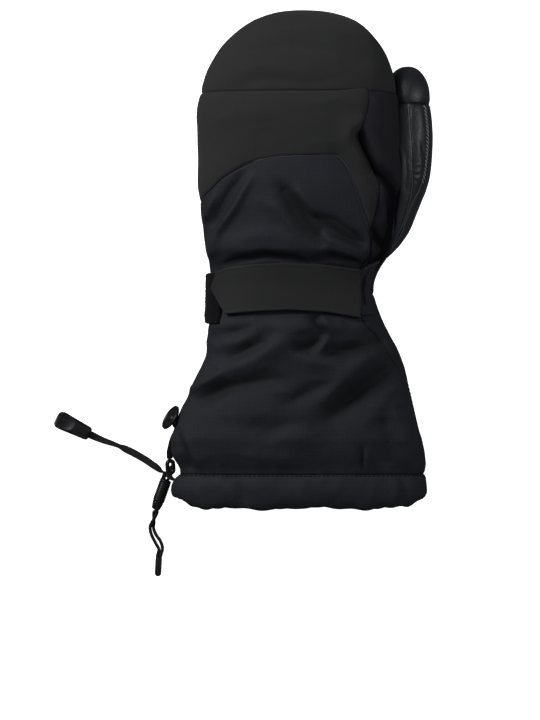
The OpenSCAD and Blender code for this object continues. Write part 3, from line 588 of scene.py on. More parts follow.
# The painted shade darkens the finish at each point, chart is the cloth's own coordinates in millimetres
def addMesh(name, points, faces, body, slot, chart=None, replaces=(), finishName=None, paintedShade=None):
    mesh = bpy.data.meshes.new(name)
    mesh.from_pydata(toRow(points).tolist(), [], faces)
    mesh.materials.append(finishes[finishName or slot])
    if paintedShade is not None:
        dark = mesh.attributes.new("paintedShade", "FLOAT", "POINT")
        dark.data.foreach_set("value", np.asarray(paintedShade, np.float32))
    if chart is not None:
        layer = mesh.uv_layers.new(name="cloth")
        corners = np.zeros(len(mesh.loops), np.int32)
        mesh.loops.foreach_get("vertex_index", corners)
        layer.data.foreach_set("uv", np.asarray(chart, np.float32)[corners].ravel())
    mesh.polygons.foreach_set("use_smooth", np.ones(len(mesh.polygons), bool))
    mesh.update()
    piece = bpy.data.objects.new(name, mesh)
    scene.collection.objects.link(piece)
    if body:
        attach(piece, body)
    if replaces:
        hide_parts(*replaces)
    return piece


def arc(points, axis):
    gaps = np.linalg.norm(np.diff(points, axis=axis), axis=-1)
    return np.concatenate([np.zeros_like(np.take(gaps, [0], axis)), np.cumsum(gaps, axis)], axis)


# Point numbers of a grid and the faces between them, with its rows or columns closed round
def gridFaces(rows, cols, closeRows=False, closeCols=False):
    index = np.arange(rows * cols).reshape(rows, cols)
    if closeRows:
        index = np.concatenate([index, index[:1]])
    if closeCols:
        index = np.concatenate([index, index[:, :1]], 1)
    corners = [index[:-1, :-1], index[:-1, 1:], index[1:, 1:], index[1:, :-1]]
    return index, np.stack(corners, -1).reshape(-1, 4)


# A closed skin between two grids of points: joined closes it round, poleEnd closes its last row to a point
def slab(name, outer, inner, body, slot, chart=None, joined=False, poleEnd=False, replaces=(),
         finishName=None, paintedShade=None):
    rows, cols = outer.shape[:2]
    index, quads = gridFaces(rows, cols, closeCols=joined)
    count = rows * cols
    middle = quads[len(quads) // 2]
    flat = outer.reshape(-1, 3)
    cross = np.cross(flat[middle[1]] - flat[middle[0]], flat[middle[3]] - flat[middle[0]])
    flip = np.dot(cross, (outer - inner).reshape(-1, 3)[middle[0]]) < 0
    walls = []

    def wall(edge):
        walls.extend([[e1, e0, e0 + count, e1 + count] for e0, e1 in zip(edge[:-1], edge[1:])])

    wall(index[0])
    if not poleEnd:
        wall(index[-1][::-1])
    if not joined:
        wall(index[:, 0][::-1])
        wall(index[:, -1])
    faces = quads.tolist() + (quads[:, ::-1] + count).tolist() + walls
    points = np.concatenate([flat, inner.reshape(-1, 3)])
    if chart is None:
        chart = np.stack([arc(outer, 1), arc(outer, 0)], -1)
    chart = chart.reshape(-1, 2)
    chart = np.concatenate([chart, chart])
    if poleEnd:
        ends = [outer[-1].mean(0), inner[-1].mean(0)]
        points = np.concatenate([points, ends])
        chart = np.concatenate([chart, chart[-2:]])
        ring = index[-1]
        faces += [[e0, e1, 2 * count] for e0, e1 in zip(ring[:-1], ring[1:])]
        faces += [[e1 + count, e0 + count, 2 * count + 1] for e0, e1 in zip(ring[:-1], ring[1:])]
    if flip:
        faces = [face[::-1] for face in faces]
    if paintedShade is not None:
        paintedShade = np.concatenate([paintedShade.ravel(), np.zeros(len(points) - paintedShade.size)])
    return addMesh(name, points, faces, body, slot, chart, replaces, finishName, paintedShade)


# A smooth line through points, with that many points evenly spread over their numbers
def spline(points, count):
    points = np.asarray(points, float)
    at = np.linspace(0, len(points) - 1, count)
    i = np.clip(at.astype(int), 0, len(points) - 2)
    t = (at - i)[:, None]
    a, b = points[np.maximum(i - 1, 0)], points[i]
    c, e = points[i + 1], points[np.minimum(i + 2, len(points) - 1)]
    return b + (c - a) * t / 2 + (2 * a - 5 * b + 4 * c - e) * t**2 / 2 + (3 * b - a - 3 * c + e) * t**3 / 2


# The same line with points at even steps along it
def even(line, step):
    run = arc(line, 0)
    count = max(int(run[-1] / step), 2) + 1
    at = np.linspace(0, run[-1], count)
    return np.stack([np.interp(at, run, line[:, k]) for k in range(line.shape[1])], -1)


# Cloth coordinates in millimetres: the way round from the middle of the back, and the length
def arcChart(phi, v):
    lengths = np.linspace(0, shape["length"] - 1, 60)
    angles = np.arange(-90, 451, 3.0)
    run = arc(hand(angles[None, :], lengths[:, None]), 1)
    run = run - run[:, 60:61]
    i = np.clip(np.searchsorted(lengths, v) - 1, 0, 58)
    t = (v - lengths[i]) / (lengths[1] - lengths[0])
    k = np.clip((phi + 90) / 3, 0, len(angles) - 2)
    j = k.astype(int)
    s = k - j
    across = ((run[i, j] * (1 - s) + run[i, j + 1] * s) * (1 - t)
              + (run[i + 1, j] * (1 - s) + run[i + 1, j + 1] * s) * t)
    return np.stack([across, v], -1)


cloth = {"thick": 0.9, "seamWidth": 1.1, "tableGap": 0.35}


# A panel between two seams of as many points, which gives its outer points back for the stitching
def panel(name, lowSeam, highSeam, slot, replaces, surface=hand, finishName=None, cell=1.25, puff=1.2,
          reach=8.0, thick=cloth["thick"], groove=0.75, grow=0.0):
    onHand = surface is hand
    fine = 400
    low, high = spline(lowSeam, fine), spline(highSeam, fine)
    run = arc(surface(low[:, 0], low[:, 1]), 0) + arc(surface(high[:, 0], high[:, 1]), 0)
    cols = max(int(run[-1] / 2 / cell), 8)
    pick = np.interp(np.linspace(0, run[-1], cols + 1), run, np.arange(fine))
    low = np.stack([np.interp(pick, np.arange(fine), low[:, k]) for k in (0, 1)], -1)
    high = np.stack([np.interp(pick, np.arange(fine), high[:, k]) for k in (0, 1)], -1)
    t = np.linspace(0, 1, 30)[:, None, None]
    trial = low * (1 - t) + high * t
    wide = arc(surface(trial[..., 0], trial[..., 1]), 0)[-1].max()
    rows = max(int(wide / cell), 4)
    t = np.linspace(0, 1, rows + 1)[:, None, None]
    grid = low * (1 - t) + high * t
    a, b = grid[..., 0], grid[..., 1]
    base = surface(a, b)
    out = handFacing(a, b) if onHand else thumbFacing(a, b)
    alongRows, alongCols = arc(base, 0), arc(base, 1)
    lowFar, highFar = alongRows, alongRows[-1:] - alongRows
    edge = np.minimum(np.minimum(lowFar, highFar), np.minimum(alongCols, alongCols[:, -1:] - alongCols))
    h = handRelief(a, b, base, out) if onHand else thumbRelief(a, b, base, out)
    h = h + puff * (1 - np.exp(-edge / reach)) - groove * np.exp(-(edge / cloth["seamWidth"]) ** 2) + grow
    outer = base + out * h[..., None]
    outer[..., 2] = np.maximum(outer[..., 2], cloth["tableGap"])
    inner = outer - out * thick
    chart = arcChart(a, b) if onHand else np.stack([alongCols, alongRows], -1)
    # Painted shade darkens the back panels' colour in fold valleys, the crease and beside the strap
    paintedShade = paintedShadeOnBack(b, base, out) if onHand else None
    slab(name, outer, inner, "shell", slot, chart, replaces=replaces, finishName=finishName, paintedShade=paintedShade)
    return {"outer": outer, "facing": out, "low": lowFar, "high": highFar}


# A seam's lengths at one angle
def beside(seam, phi):
    return np.stack([np.full(len(seam), float(phi)), np.asarray(seam)[:, 1]], -1)


# A line on a panel at that distance from one of its edges, with the way up along it
def inset(made, side, far, lift=0.12, span=(0.0, 1.0)):
    outer, out, away = made["outer"], made["facing"], made[side]
    picked = np.argmin(np.abs(away - far), axis=0)
    line = outer[picked, np.arange(outer.shape[1])]
    ups = out[picked, np.arange(outer.shape[1])]
    first, last = int(span[0] * (len(line) - 1)), int(span[1] * (len(line) - 1)) + 1
    soften = np.array([0.25, 0.5, 0.25])
    line, ups = line[first:last], ups[first:last]
    if len(line) > 4:
        mid = np.stack([np.convolve(line[:, k], soften, "valid") for k in range(3)], -1)
        line = np.concatenate([line[:1], mid, line[-1:]])
    return line + ups * lift, ups


# Seams are lines of angle and length on that surface

leftSide, underSide, wristAt, knuckleAt, hemAt = 186.0, -42.0, 139.0, 262.0, 22.5
strapCorner = onBack(np.array([39.0, wristAt]))
gauntletSeam = np.concatenate([
    [[-10, hemAt], [-9, 45], [-6, 64], [3, 80]],
    onBack([(66.5, 88.5), (62.3, 94.4), (57.8, 100.3), (54, 107.9), (50.4, 112.5), (43.9, 117), (40.2, 124)]),
    [strapCorner]])
archSeam = np.concatenate([
    onBack([(46, 180), (41.6, 192), (37, 207), (32.7, 219.7), (27.6, 227), (23.7, 229.3), (10, 229.2),
            (-5.5, 228.8), (-18.9, 227.5), (-32, 224), (-49, 214), (-57, 206)]), [[leftSide, 194]]])
leg = strapCorner + (archSeam[0] - strapCorner) * np.linspace(0, 1, 5)[:, None]
creaseSeam = np.concatenate([
    onBack([(46.6, 181.2), (49.6, 193), (51.4, 205), (51, 214), (48, 222.5), (39.3, 242)]),
    [[47, knuckleAt]]])
gussetSeam = np.concatenate([leg[:-1], creaseSeam])

panels = {}
panels["back"] = panel("gauntletBack", beside(gauntletSeam, leftSide), gauntletSeam, "ripstop",
                       ["gauntlet_back_panel"], cell=1.15, puff=1.5, groove=0.35)
panels["side"] = panel("gauntletSide", beside(gauntletSeam, underSide), gauntletSeam, "ripstop",
                       ["gauntlet_side_panel"], puff=1.5, groove=0.35)
panel("gauntletPalm", beside(gauntletSeam, leftSide), beside(gauntletSeam, 360 + underSide), "ripstop",
      ["gauntlet_palm_panel"], cell=1.9, puff=0.6)
count = len(archSeam)
foot = np.stack([np.linspace(strapCorner[0], leftSide, count), np.full(count, wristAt)], -1)
panels["wrist"] = panel("wristBack", foot, archSeam, "ripstop", ["wrist_back_panel"], cell=1.15, puff=1.0)
count = len(archSeam) - len(creaseSeam)
knuckles = np.stack([np.linspace(47, leftSide, count + 1)[1:], np.full(count, knuckleAt)], -1)
outerSeam = np.concatenate([creaseSeam, knuckles])
panel("handBack", archSeam, outerSeam, "softshell", ["hand_back_panel"], puff=1.7)
panels["index"] = panel("indexGusset", beside(gussetSeam, 3), gussetSeam, "softshell", ["index_gusset"],
                        finishName="gusset", puff=1.8)
print("back panels made")

across = np.linspace(leftSide, 363, 12)
palmEnds = [np.stack([across, np.full(12, length)], -1) for length in (wristAt, knuckleAt)]
panel("palmPanel", *palmEnds, "leather", ["palm_panel"], cell=1.9, puff=0.5)
palmPatch = {"angles": (247, 291), "lengths": (176.0, 246.0), "thick": 1.0, "lift": 0.9}
across = np.linspace(*palmPatch["angles"], 6)
palmEnds = [np.stack([across, np.full(6, length)], -1) for length in palmPatch["lengths"]]
panel("palmPatch", *palmEnds, "leather", ["palm_patch"], cell=1.9, puff=0.2, thick=palmPatch["thick"],
      grow=palmPatch["lift"])

fingertip = {"around": 240, "along": 56, "puff": 1.0, "reach": 8, "groove": 0.75}
turns = np.linspace(0, 360, fingertip["around"] + 1)[:-1]
rounds = knuckleAt + (shape["length"] - 0.4 - knuckleAt) * np.linspace(0, 1, fingertip["along"])
a, b = np.broadcast_arrays(turns[None, :], rounds[:, None])
base, out = hand(a, b), handFacing(a, b)
h = handRelief(a, b, base, out) * (1 - 0.6 * smooth(b, 306, 320))
h = h + fingertip["puff"] * (1 - np.exp(-(b - knuckleAt) / fingertip["reach"]))
h = h - fingertip["groove"] * np.exp(-((b - knuckleAt) / cloth["seamWidth"]) ** 2)
cap = base + out * h[..., None]
cap[..., 2] = np.maximum(cap[..., 2], cloth["tableGap"])
slab("fingertipCap", cap, cap - out * cloth["thick"], "shell", slotOf["fingertip_cap"], arcChart(a, b),
     joined=True, poleEnd=True, replaces=["fingertip_cap"])

# The thumb's seams: angles at rings from its root, 0, to its tip, 4
ringList = np.array([0, 0.5, 1, 1.5, 2, 3, 4])
backSeam = np.stack([np.array([50, 51, 52, 63, 77, 85, 88]), ringList], -1)
sideSeam = np.stack([np.array([42, 43.5, 45, 39.5, 34.6, 36, 38]), ringList], -1)
underTurn = 232.0
panels["thumbInner"] = panel("thumbGusset", backSeam, beside(backSeam, underTurn), "leather",
                             ["thumb_gusset"], thumb, cell=1.2, puff=1.0, reach=5, groove=0.4)
panels["thumbBack"] = panel("thumbBack", sideSeam, backSeam, "leather",
                            ["thumb_back"], thumb, cell=0.9, puff=1.1, reach=5, groove=0.4)
panels["thumbFront"] = panel("thumbFront", beside(sideSeam, underTurn - 360), sideSeam, "leather",
                             ["thumb_front"], thumb, cell=1.2, puff=0.9, reach=5, groove=0.4)
tipRings = 4 + 0.985 * np.linspace(0, 1, 26)
a, b = np.broadcast_arrays(np.linspace(0, 360, 97)[:-1][None, :], tipRings[:, None])
base, out = thumb(a, b), thumbFacing(a, b)
h = thumbRelief(a, b, base, out) * (1 - 0.6 * smooth(b, 4.6, 5)) + 0.9 * (1 - np.exp(-(b - 4) * 5))
h = h - 0.4 * np.exp(-(((b - 4) * 24) / cloth["seamWidth"]) ** 2)
tipSkin = base + out * h[..., None]
slab("thumbTip", tipSkin, tipSkin - out * cloth["thick"], "shell", "leather", joined=True, poleEnd=True,
     replaces=["thumb_tip"])
print("palm and thumb made")

# The hem channel's section: length from the hem and depth below the surface, out over the back and in again
hemSteps = np.linspace(0, 360, 361)[:-1]
profile = np.array([
    [22.4, 0.3], [21.5, 0], [20.2, -0.5], [18, -0.9], [15, -1.3], [12, -1.5], [9, -1.5], [6.5, -1.3],
    [4.5, -1.0], [3, -0.6], [1.7, -0.1], [0.8, 0.6], [0.1, 1.4], [0, 2.3], [0.1, 3.2], [0.8, 4.0],
    [2.4, 4.7], [6, 5.2], [11, 5.3], [17, 5.2], [21.5, 5.0], [22.4, 4.2], [22.5, 2.4]])
a, b = np.broadcast_arrays(hemSteps[:, None], profile[:, 0][None, :])
base, out = hand(a, b), handFacing(a, b)
h = handRelief(a, b, base, out) - profile[:, 1][None, :]
hemPoints = base + out * h[..., None]
hemPoints[:, 13, 1] -= 0.3  # the very edge stands a little further out
hemPoints[..., 2] = np.maximum(hemPoints[..., 2], 0.3 + 0.35 * np.maximum(profile[:, 1], 0)[None, :])
index, quads = gridFaces(len(hemSteps), len(profile), closeRows=True, closeCols=True)
first = hemPoints.reshape(-1, 3)[quads[9]]
if np.dot(np.cross(first[1] - first[0], first[3] - first[0]), out.reshape(-1, 3)[quads[9][0]]) < 0:
    quads = quads[:, ::-1]
addMesh("hemBand", hemPoints.reshape(-1, 3), quads.tolist(), "shell", "ripstop",
        arcChart(a, b).reshape(-1, 2), ["hem_channel"])
hemLine, hemUps = hemPoints[:, 1], out[:, 1]


# An inner layer that follows the folds of the back at that depth
def liner(name, rounds, depth, wrinkle, slot, replaces, poleEnd=False, thick=0.8):
    turns = np.linspace(0, 360, 151)[:-1]
    a, b = np.broadcast_arrays(turns[None, :], np.asarray(rounds, float)[:, None])
    base, out = hand(a, b), handFacing(a, b)
    h = handRelief(a, b, base, out) * (1 - smooth(b, 250, 300)) + 0.4 - depth
    h = h + wrinkle * ripple(base, (13, 10, 13), 31) + 0.5 * wrinkle * ripple(base, (5, 6, 5), 32)
    skin = base + out * h[..., None]
    skin[..., 2] = np.maximum(skin[..., 2], 0.5 + 0.55 * depth)
    slab(name, skin, skin - out * thick, "shell", slot, arcChart(a, b), joined=True, poleEnd=poleEnd,
         replaces=replaces)


linings = {
    "gauntletLining": ("gauntlet_lining", (19, 147, 60), {"depth": 4.6, "wrinkle": 0.5}),
    "liningBinding": ("lining_binding", (146.4, 150.4, 5), {"depth": 3.2, "wrinkle": 0.2, "thick": 5.6}),
    "handLining": ("lining_hand", (149, 318, 60), {"depth": 8.9, "wrinkle": 0.6, "poleEnd": True}),
}
for name, (node, span, values) in linings.items():
    liner(name, np.linspace(*span), slot=slotOf[node], replaces=[node], **values)
print("hem and linings made")

# The strap's edges are drawn as they show from the camera
strap = {"bottom": 2.3, "thick": 1.75, "round": 0.7, "start": 40.6, "tip": -57.6, "wave": 0.25,
         "stitchInset": 2.6, "stitchDepth": 0.14}
topEdge = [(-57.6, 142.7), (-53.8, 153.6), (-48.0, 156.0), (-29.6, 158.5), (-8.8, 159.3), (15, 158.2),
           (41, 154.7)]
lowEdge = [(-57.6, 142.7), (-48.2, 125.8), (-37.7, 127), (-25, 128), (-5.5, 128.7), (18, 127.4), (41, 123.5)]


def edgeAt(edge, x):
    edge = np.array(edge)
    return np.interp(x, edge[:, 0], edge[:, 1])


def between(low, high, x, share):
    return np.stack([np.broadcast_to(x[:, None], (len(x), len(share))),
                     low[:, None] + (high - low)[:, None] * share[None, :]], -1)


# The rows and columns of points lie closer together near the edges and the tip
tipPart = strap["tip"] + 9.6 * np.linspace(0, 1, 20) ** 1.2
near = np.concatenate([tipPart, np.linspace(-47.4, strap["start"], 90)])[::-1]
rim = np.concatenate([[0, 0.12, 0.3, 0.55, 0.85, 1.3], np.linspace(2.0, 28.6, 30),
                      [29.3, 29.75, 30.05, 30.3, 30.48, 30.6]])
share = rim / rim[-1]
low, high = edgeAt(lowEdge, near), edgeAt(topEdge, near)
grid = onBack(between(low, high, near, share), strap["bottom"] + strap["thick"])
base, out = hand(grid[..., 0], grid[..., 1]), handFacing(grid[..., 0], grid[..., 1])
fromEdge = np.minimum(share, 1 - share)[None, :] * (high - low)[:, None]
fromEdge = np.minimum(fromEdge, (near - strap["tip"])[:, None] * 0.85)
crown = np.sqrt(np.clip(1 - (1 - np.clip(fromEdge / strap["round"], 0, 1)) ** 2, 0, 1))
wavy = strap["wave"] * ripple(base, (30, 40, 30), 41)
edgeStitch = strap["stitchDepth"] * np.exp(-((fromEdge - strap["stitchInset"]) / 0.45) ** 2)
upper = strap["bottom"] + wavy + strap["thick"] * (0.42 + 0.58 * crown) - edgeStitch
lower = strap["bottom"] + wavy + strap["thick"] * 0.38 * (1 - crown)
topFace = base + out * upper[..., None]
slab("wristStrap", topFace, base + out * lower[..., None], "strap", slotOf["wrist_strap"],
     replaces=["wrist_strap"])


# A flat piece sewn onto the surface, between two heights above it, with rounded edges
def patch(name, values, body, node, bump=None, finishName=None):
    phis, lengths, (low, high) = values["angles"], values["lengths"], values["heights"]
    cell, slope = values["cell"], values.get("slope", 0.0)
    cols, rows = int(abs(phis[1] - phis[0]) / 0.9 / cell), int((lengths[1] - lengths[0]) / cell)
    a, b = np.meshgrid(np.linspace(*phis, cols + 1), np.linspace(*lengths, rows + 1))
    b = b + slope * (phis[1] - a) / (phis[1] - phis[0]) * (b - lengths[0]) / (lengths[1] - lengths[0])
    base, out = hand(a, b), handFacing(a, b)
    ground = handRelief(a, b, base, out)
    wide, long = arc(base, 1), arc(base, 0)
    edge = np.minimum(np.minimum(wide, wide[:, -1:] - wide), np.minimum(long, long[-1:] - long))
    crown = np.sqrt(np.clip(1 - (1 - np.clip(edge / 1.4, 0, 1)) ** 2, 0, 1))
    h = ground + low + (high - low) * (0.35 + 0.65 * crown)
    if bump is not None:
        h = h + bump(a, b, base) * crown
    face = base + out * h[..., None]
    slab(name, face, base + out * (ground + low)[..., None], body, slotOf[node],
         np.stack([wide, long], -1), replaces=[node], finishName=finishName)
    return face, out


def loopBump(phi, v, p):
    return 0.1 * np.sin(v * 2 * math.pi / 2.3) + 0.16 * ripple(p, 1.2, 51) + 0.3 * ripple(p, 5, 52)


def anchorBump(phi, v, p):
    return 0.35 * ripple(p, (4, 7, 4), 54) - 1.1 * np.exp(-((phi - 33.5) / 0.9) ** 2) * smooth(v, 130, 133)


loopPatch = {"angles": (147, 207), "lengths": (119.5, 152.5), "heights": (0.9, 3.6), "cell": 0.55}
hookPad = {"angles": (112, 136), "lengths": (129, 153), "heights": (1.9, 2.3), "cell": 1.0}
anchor = {"angles": (22, 41.5), "lengths": (124.8, 155.6), "heights": (0.6, 2.6), "cell": 0.7, "slope": 5.5}
patch("loopPatch", loopPatch, "shell", "strap_loop_patch", loopBump)
patch("strapHookPad", hookPad, "strap", "strap_hook_pad")
anchorFace, anchorUp = patch("strapAnchor", anchor, "shell", "strap_anchor", anchorBump, "ripstop")

# The strap's root bends across the joint, tucked under the anchor's edge at rest
rootAt = np.linspace(45.0, 36.5, 18)
tuck = np.clip((rootAt - 40) / 5, 0, 1)
low = edgeAt(lowEdge, np.minimum(rootAt, 41)) + 1.5 + 4 * tuck
high = edgeAt(topEdge, np.minimum(rootAt, 41)) - 1.5 - 3 * tuck
grid = onBack(between(low, high, rootAt, np.linspace(0, 1, 30)), strap["bottom"])
base, out = hand(grid[..., 0], grid[..., 1]), handFacing(grid[..., 0], grid[..., 1])
tuck = tuck[:, None, None]
root = slab("strapRoot", base + out * (2.1 - 1.4 * tuck), base + out * (1.2 - 1.1 * tuck), None,
            slotOf["wrist_strap"])
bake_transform(root)
print("strap made")


# Faces turned so that the chosen one looks away from a place inside
def outwards(faces, points, chosen, inside):
    a, b, c = (points[faces[chosen][k]] for k in (0, 1, 2))
    if np.dot(np.cross(b - a, c - a), a - inside) < 0:
        return [face[::-1] for face in faces]
    return faces


# A tube along a route: wide, thick and turn may change along it, square above 1 squares its corners
def sweep(name, route, wide, thick, body, slot, replaces=(), turn=0.0, up=(0, 0, 1), sides=12, square=1.0,
          ends=0.5):
    route = np.asarray(route, float)
    run = arc(route, 0)
    count = len(route)
    ahead = np.gradient(route, axis=0)
    ahead /= np.linalg.norm(ahead, axis=1, keepdims=True)
    side = np.cross(ahead, up)
    side /= np.linalg.norm(side, axis=1, keepdims=True)
    rise = np.cross(side, ahead)
    spread = [np.interp(np.linspace(0, 1, count), np.linspace(0, 1, np.size(x)), np.atleast_1d(x))
              for x in (wide, thick, turn)]
    angle = np.radians(spread[2])[:, None]
    across = side * np.cos(angle) + rise * np.sin(angle)
    over = rise * np.cos(angle) - side * np.sin(angle)
    c = 2 * math.pi * np.arange(sides) / sides
    fromEnd = np.minimum(run, run[-1] - run)
    reach = np.maximum(spread[1] * ends, 1e-6)
    narrow = np.sqrt(np.clip(1 - (1 - np.clip(fromEnd / reach, 0, 1)) ** 2, 0.12, 1))[:, None]
    halfWide = spread[0][:, None] / 2 * narrow * power(np.cos(c), 1 / square)
    halfThick = spread[1][:, None] / 2 * narrow * power(np.sin(c), 1 / square)
    points = route[:, None] + across[:, None] * halfWide[..., None] + over[:, None] * halfThick[..., None]
    index, quads = gridFaces(count, sides, closeCols=True)
    faces = quads[:, ::-1].tolist() + [list(range(sides)), index[-1, :-1][::-1].tolist()]
    around = c * (np.mean(spread[0]) + np.mean(spread[1])) / 4
    chart = np.stack(np.broadcast_arrays(around[None, :], run[:, None]), -1)
    flat = points.reshape(-1, 3)
    chosen = len(faces) // 3
    faces = outwards(faces, flat, chosen, route[faces[chosen][0] // sides])
    return addMesh(name, flat, faces, body, slot, chart.reshape(-1, 2), replaces)


# A closed profile of radius and height, turned about a line
def turned(name, profile, start, way, body, node, steps=48):
    profile = np.asarray(profile, float)
    way = np.asarray(way, float) / np.linalg.norm(way)
    one = np.cross(way, (0, 0, 1) if abs(way[2]) < 0.9 else (1, 0, 0))
    one /= np.linalg.norm(one)
    two = np.cross(way, one)
    c = 2 * math.pi * np.arange(steps) / steps
    ring = np.cos(c)[:, None] * one + np.sin(c)[:, None] * two
    points = np.asarray(start) + ring[None] * profile[:, :1, None] + way * profile[:, 1:2, None]
    index, quads = gridFaces(len(profile), steps, closeCols=True)
    faces = quads.tolist() + [index[0, :-1][::-1].tolist(), index[-1, :-1].tolist()]
    chart = np.stack(np.broadcast_arrays((c * profile[:, 0].max())[None, :], profile[:, 1:2]), -1)
    return addMesh(name, points.reshape(-1, 3), faces, body, slotOf[node], chart.reshape(-1, 2), [node])


def unit(v):
    v = np.asarray(v, float)
    return v / np.linalg.norm(v)


button = {"at": np.array([-82.7, 58.9, 27.4]), "way": unit([-0.79, 0.50, 0.36]), "radius": 8.6, "thick": 2.2,
          "postLength": 3.0}
r, t = button["radius"], button["thick"] / 2
turned("keeperButton", [
    (0.01, -t), (r - 2.0, -t), (r - 0.9, -t + 0.15), (r - 0.25, -t + 0.6), (r, -0.1), (r, 0.5),
    (r - 0.2, t - 0.2), (r - 0.6, t), (r - 1.1, t - 0.05), (r - 1.5, t - 0.5), (r - 2.0, 0.35),
    (3.2, 0.2), (2.9, 0.35), (2.7, 0.9), (2.3, 1.15), (1.2, 1.25), (0.01, 1.28)],
       button["at"], button["way"], "shell", "keeper_button", 64)
postFoot = button["at"] - button["way"] * (t + 0.05 + button["postLength"])
turned("keeperPost", [(0.01, -1.2), (4.6, -1.2), (4.3, -0.4), (3.5, 0.5), (3.2, 1.5), (3.3, 2.4), (3.8, 3.0),
                      (0.01, 3.0)], postFoot, button["way"], "shell", "keeper_post")

# A wire link with straight sides, for the lock's cords
ring = {"at": (-83.1, 26.9, 22), "radius": 1.95, "straight": 1.9, "wire": 1.45, "tilt": 12, "lean": 3,
        "sides": 10}
c = np.linspace(0, 2 * math.pi, 49)
tilt, lean = math.radians(ring["tilt"]), math.radians(ring["lean"])
ringX = ring["radius"] * np.cos(c)
ringY = ring["radius"] * np.sin(c) + ring["straight"] * np.sign(np.round(np.sin(c), 6))
ringLine = np.array(ring["at"]) + np.stack([
    ringX * math.cos(tilt) * math.cos(lean) - ringY * math.sin(lean),
    ringX * math.cos(tilt) * math.sin(lean) + ringY * math.cos(lean), -ringX * math.sin(tilt)], -1)
ringLine = even(ringLine, 0.45)[:-1]
way = np.roll(ringLine, -1, 0) - np.roll(ringLine, 1, 0)
way /= np.linalg.norm(way, axis=1, keepdims=True)
sideways = np.cross(way, (0.2, 0, 1.0))
sideways /= np.linalg.norm(sideways, axis=1, keepdims=True)
rise = np.cross(sideways, way)
c = (2 * math.pi * np.arange(ring["sides"]) / ring["sides"])[None, :, None]
ringPoints = ringLine[:, None] + ring["wire"] * (np.cos(c) * sideways[:, None] + np.sin(c) * rise[:, None])
index, quads = gridFaces(len(ringLine), ring["sides"], closeRows=True, closeCols=True)
addMesh("anchorRing", ringPoints.reshape(-1, 3), quads.tolist(), "shell", slotOf["anchor_ring"],
        replaces=["anchor_ring"])
tabLine = spline([[-79.6, 50, 26.5], [-81.6, 45.5, 25.6], [-82.8, 40.5, 24.8], [-83.6, 36, 23.8],
                  [-83.4, 32.0, 22.5]], 30)
sweep("lockAnchorTab", even(tabLine, 0.5), 4.0, 1.5, "shell", slotOf["lock_anchor_tab"], ["lock_anchor_tab"],
      turn=[60, 34, 14], square=2.2, sides=16)

# The cord lock is turned about a line that starts at its hem end
lock = {"at": (-86.4, 17.9, 5.6), "up": (0.338, 0.938, 0.08), "radius": 3.8, "ribs": 9, "ribPitch": 1.4}
lockTop, lockUp = np.array(lock["at"]), unit(lock["up"])
heading = math.atan2(lockUp[1], lockUp[0])
lockSide = np.array([-math.sin(heading), math.cos(heading), 0])
lockDown = np.cross(lockSide, lockUp)


def inLock(x, y, z):
    return lockTop + lockDown * x + lockSide * y + lockUp * z


r = lock["radius"]
ribs = []
for k in range(lock["ribs"]):
    z = -14.4 + lock["ribPitch"] * k
    ribs += [(r + 0.02, z), (r + 0.1, z + 0.25), (r + 0.1, z + 0.7), (r + 0.02, z + 0.92),
             (r - 0.16, z + 1.05), (r - 0.16, z + 1.25)]
turned("lockHousing", [(2.9, -15.1), (r - 0.35, -15.1), (r - 0.08, -14.8), *ribs, (r - 0.05, -1.1),
                       (r + 0.05, -0.75), (r - 0.1, -0.25), (r - 0.5, 0), (2.95, 0), (2.85, -0.4),
                       (2.85, -6)],
       lockTop, lockUp, "lock", "lock_housing", 56)
turned("lockEndCap", [(0.01, -20.6), (1.9, -20.6), (2.5, -20.35), (2.8, -19.8), (3.1, -18.4), (3.45, -16.6),
                      (3.55, -15.75), (3.5, -15.45), (3.2, -15.25), (0.01, -15.25)],
       lockTop, lockUp, "lock", "lock_end_cap")

# The cord's own width, and the fluff that its braid adds to the tails
cord = {"wide": 1.9, "fluff": 0.3, "step": 0.5, "sink": -1.15}
linkRoute = np.array([[-80, 18.4, 22.2], [-82.9, 19.6, 21], [-84, 21.4, 17], [-83.9, 24, 11.5],
                      [-83.1, 25.6, 8.4], [-82.7, 24.6, 6.6]])
linkOffset = np.array([[0, 0, 1.2], [-0.8, 0, 0.9], [-1.1, -0.4, 0], [-0.7, -0.9, 0], [-0.2, -1.1, 0.4],
                       [0, -0.6, 1]])
for name, node, x in (("linkUpper", "cord_link_upper", -1), ("linkLower", "cord_link_lower", 1)):
    bent = spline(np.concatenate([linkRoute - linkOffset * x, [inLock(x, cord["sink"], 4)]]), 60)
    hidden = [inLock(x, cord["sink"], 0.3), inLock(x, cord["sink"], -5)]
    line = even(np.concatenate([bent, hidden]), cord["step"])
    made = sweep(name, line, cord["wide"], cord["wide"], None, "elastic_cord", up=(1, 0.3, 0.2))
    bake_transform(made)
    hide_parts(node)

sleeve = [np.array([-91.2, -33.2, 2.3]), np.array([-91.7, -43, 2.3])]
sleeveWay = sleeve[1] - sleeve[0]
turned("tailSleeve", [(0.01, 0), (1.75, 0), (2.1, 0.3), (2.2, 0.9), (2.15, 5), (2.2, 9.8), (1.95, 10.9),
                      (1.3, 11.7), (0.5, 12.0), (0.01, 12.0)], sleeve[0], sleeveWay, "tails", "tail_sleeve")
tailMiddle = np.array([[-93.2, -3, 4.3], [-93.9, -6, 3.4], [-95.0, -10, 2.4], [-95.8, -13.5, 1.5],
                       [-94.6, -18, 1.1], [-91.7, -23, 1.1], [-90.0, -27.2, 1.1], [-90.8, -30.8, 1.7]])
tailApart = np.array([[1.05, 0, 0.3], [0.6, 0.1, 0.95], [-0.7, 0.1, 0.9], [-1.15, 0, 0.2], [-1.3, -0.4, 0],
                      [-1.45, -0.9, 0], [-1.2, -0.4, 0], [-1.1, 0, 0]])
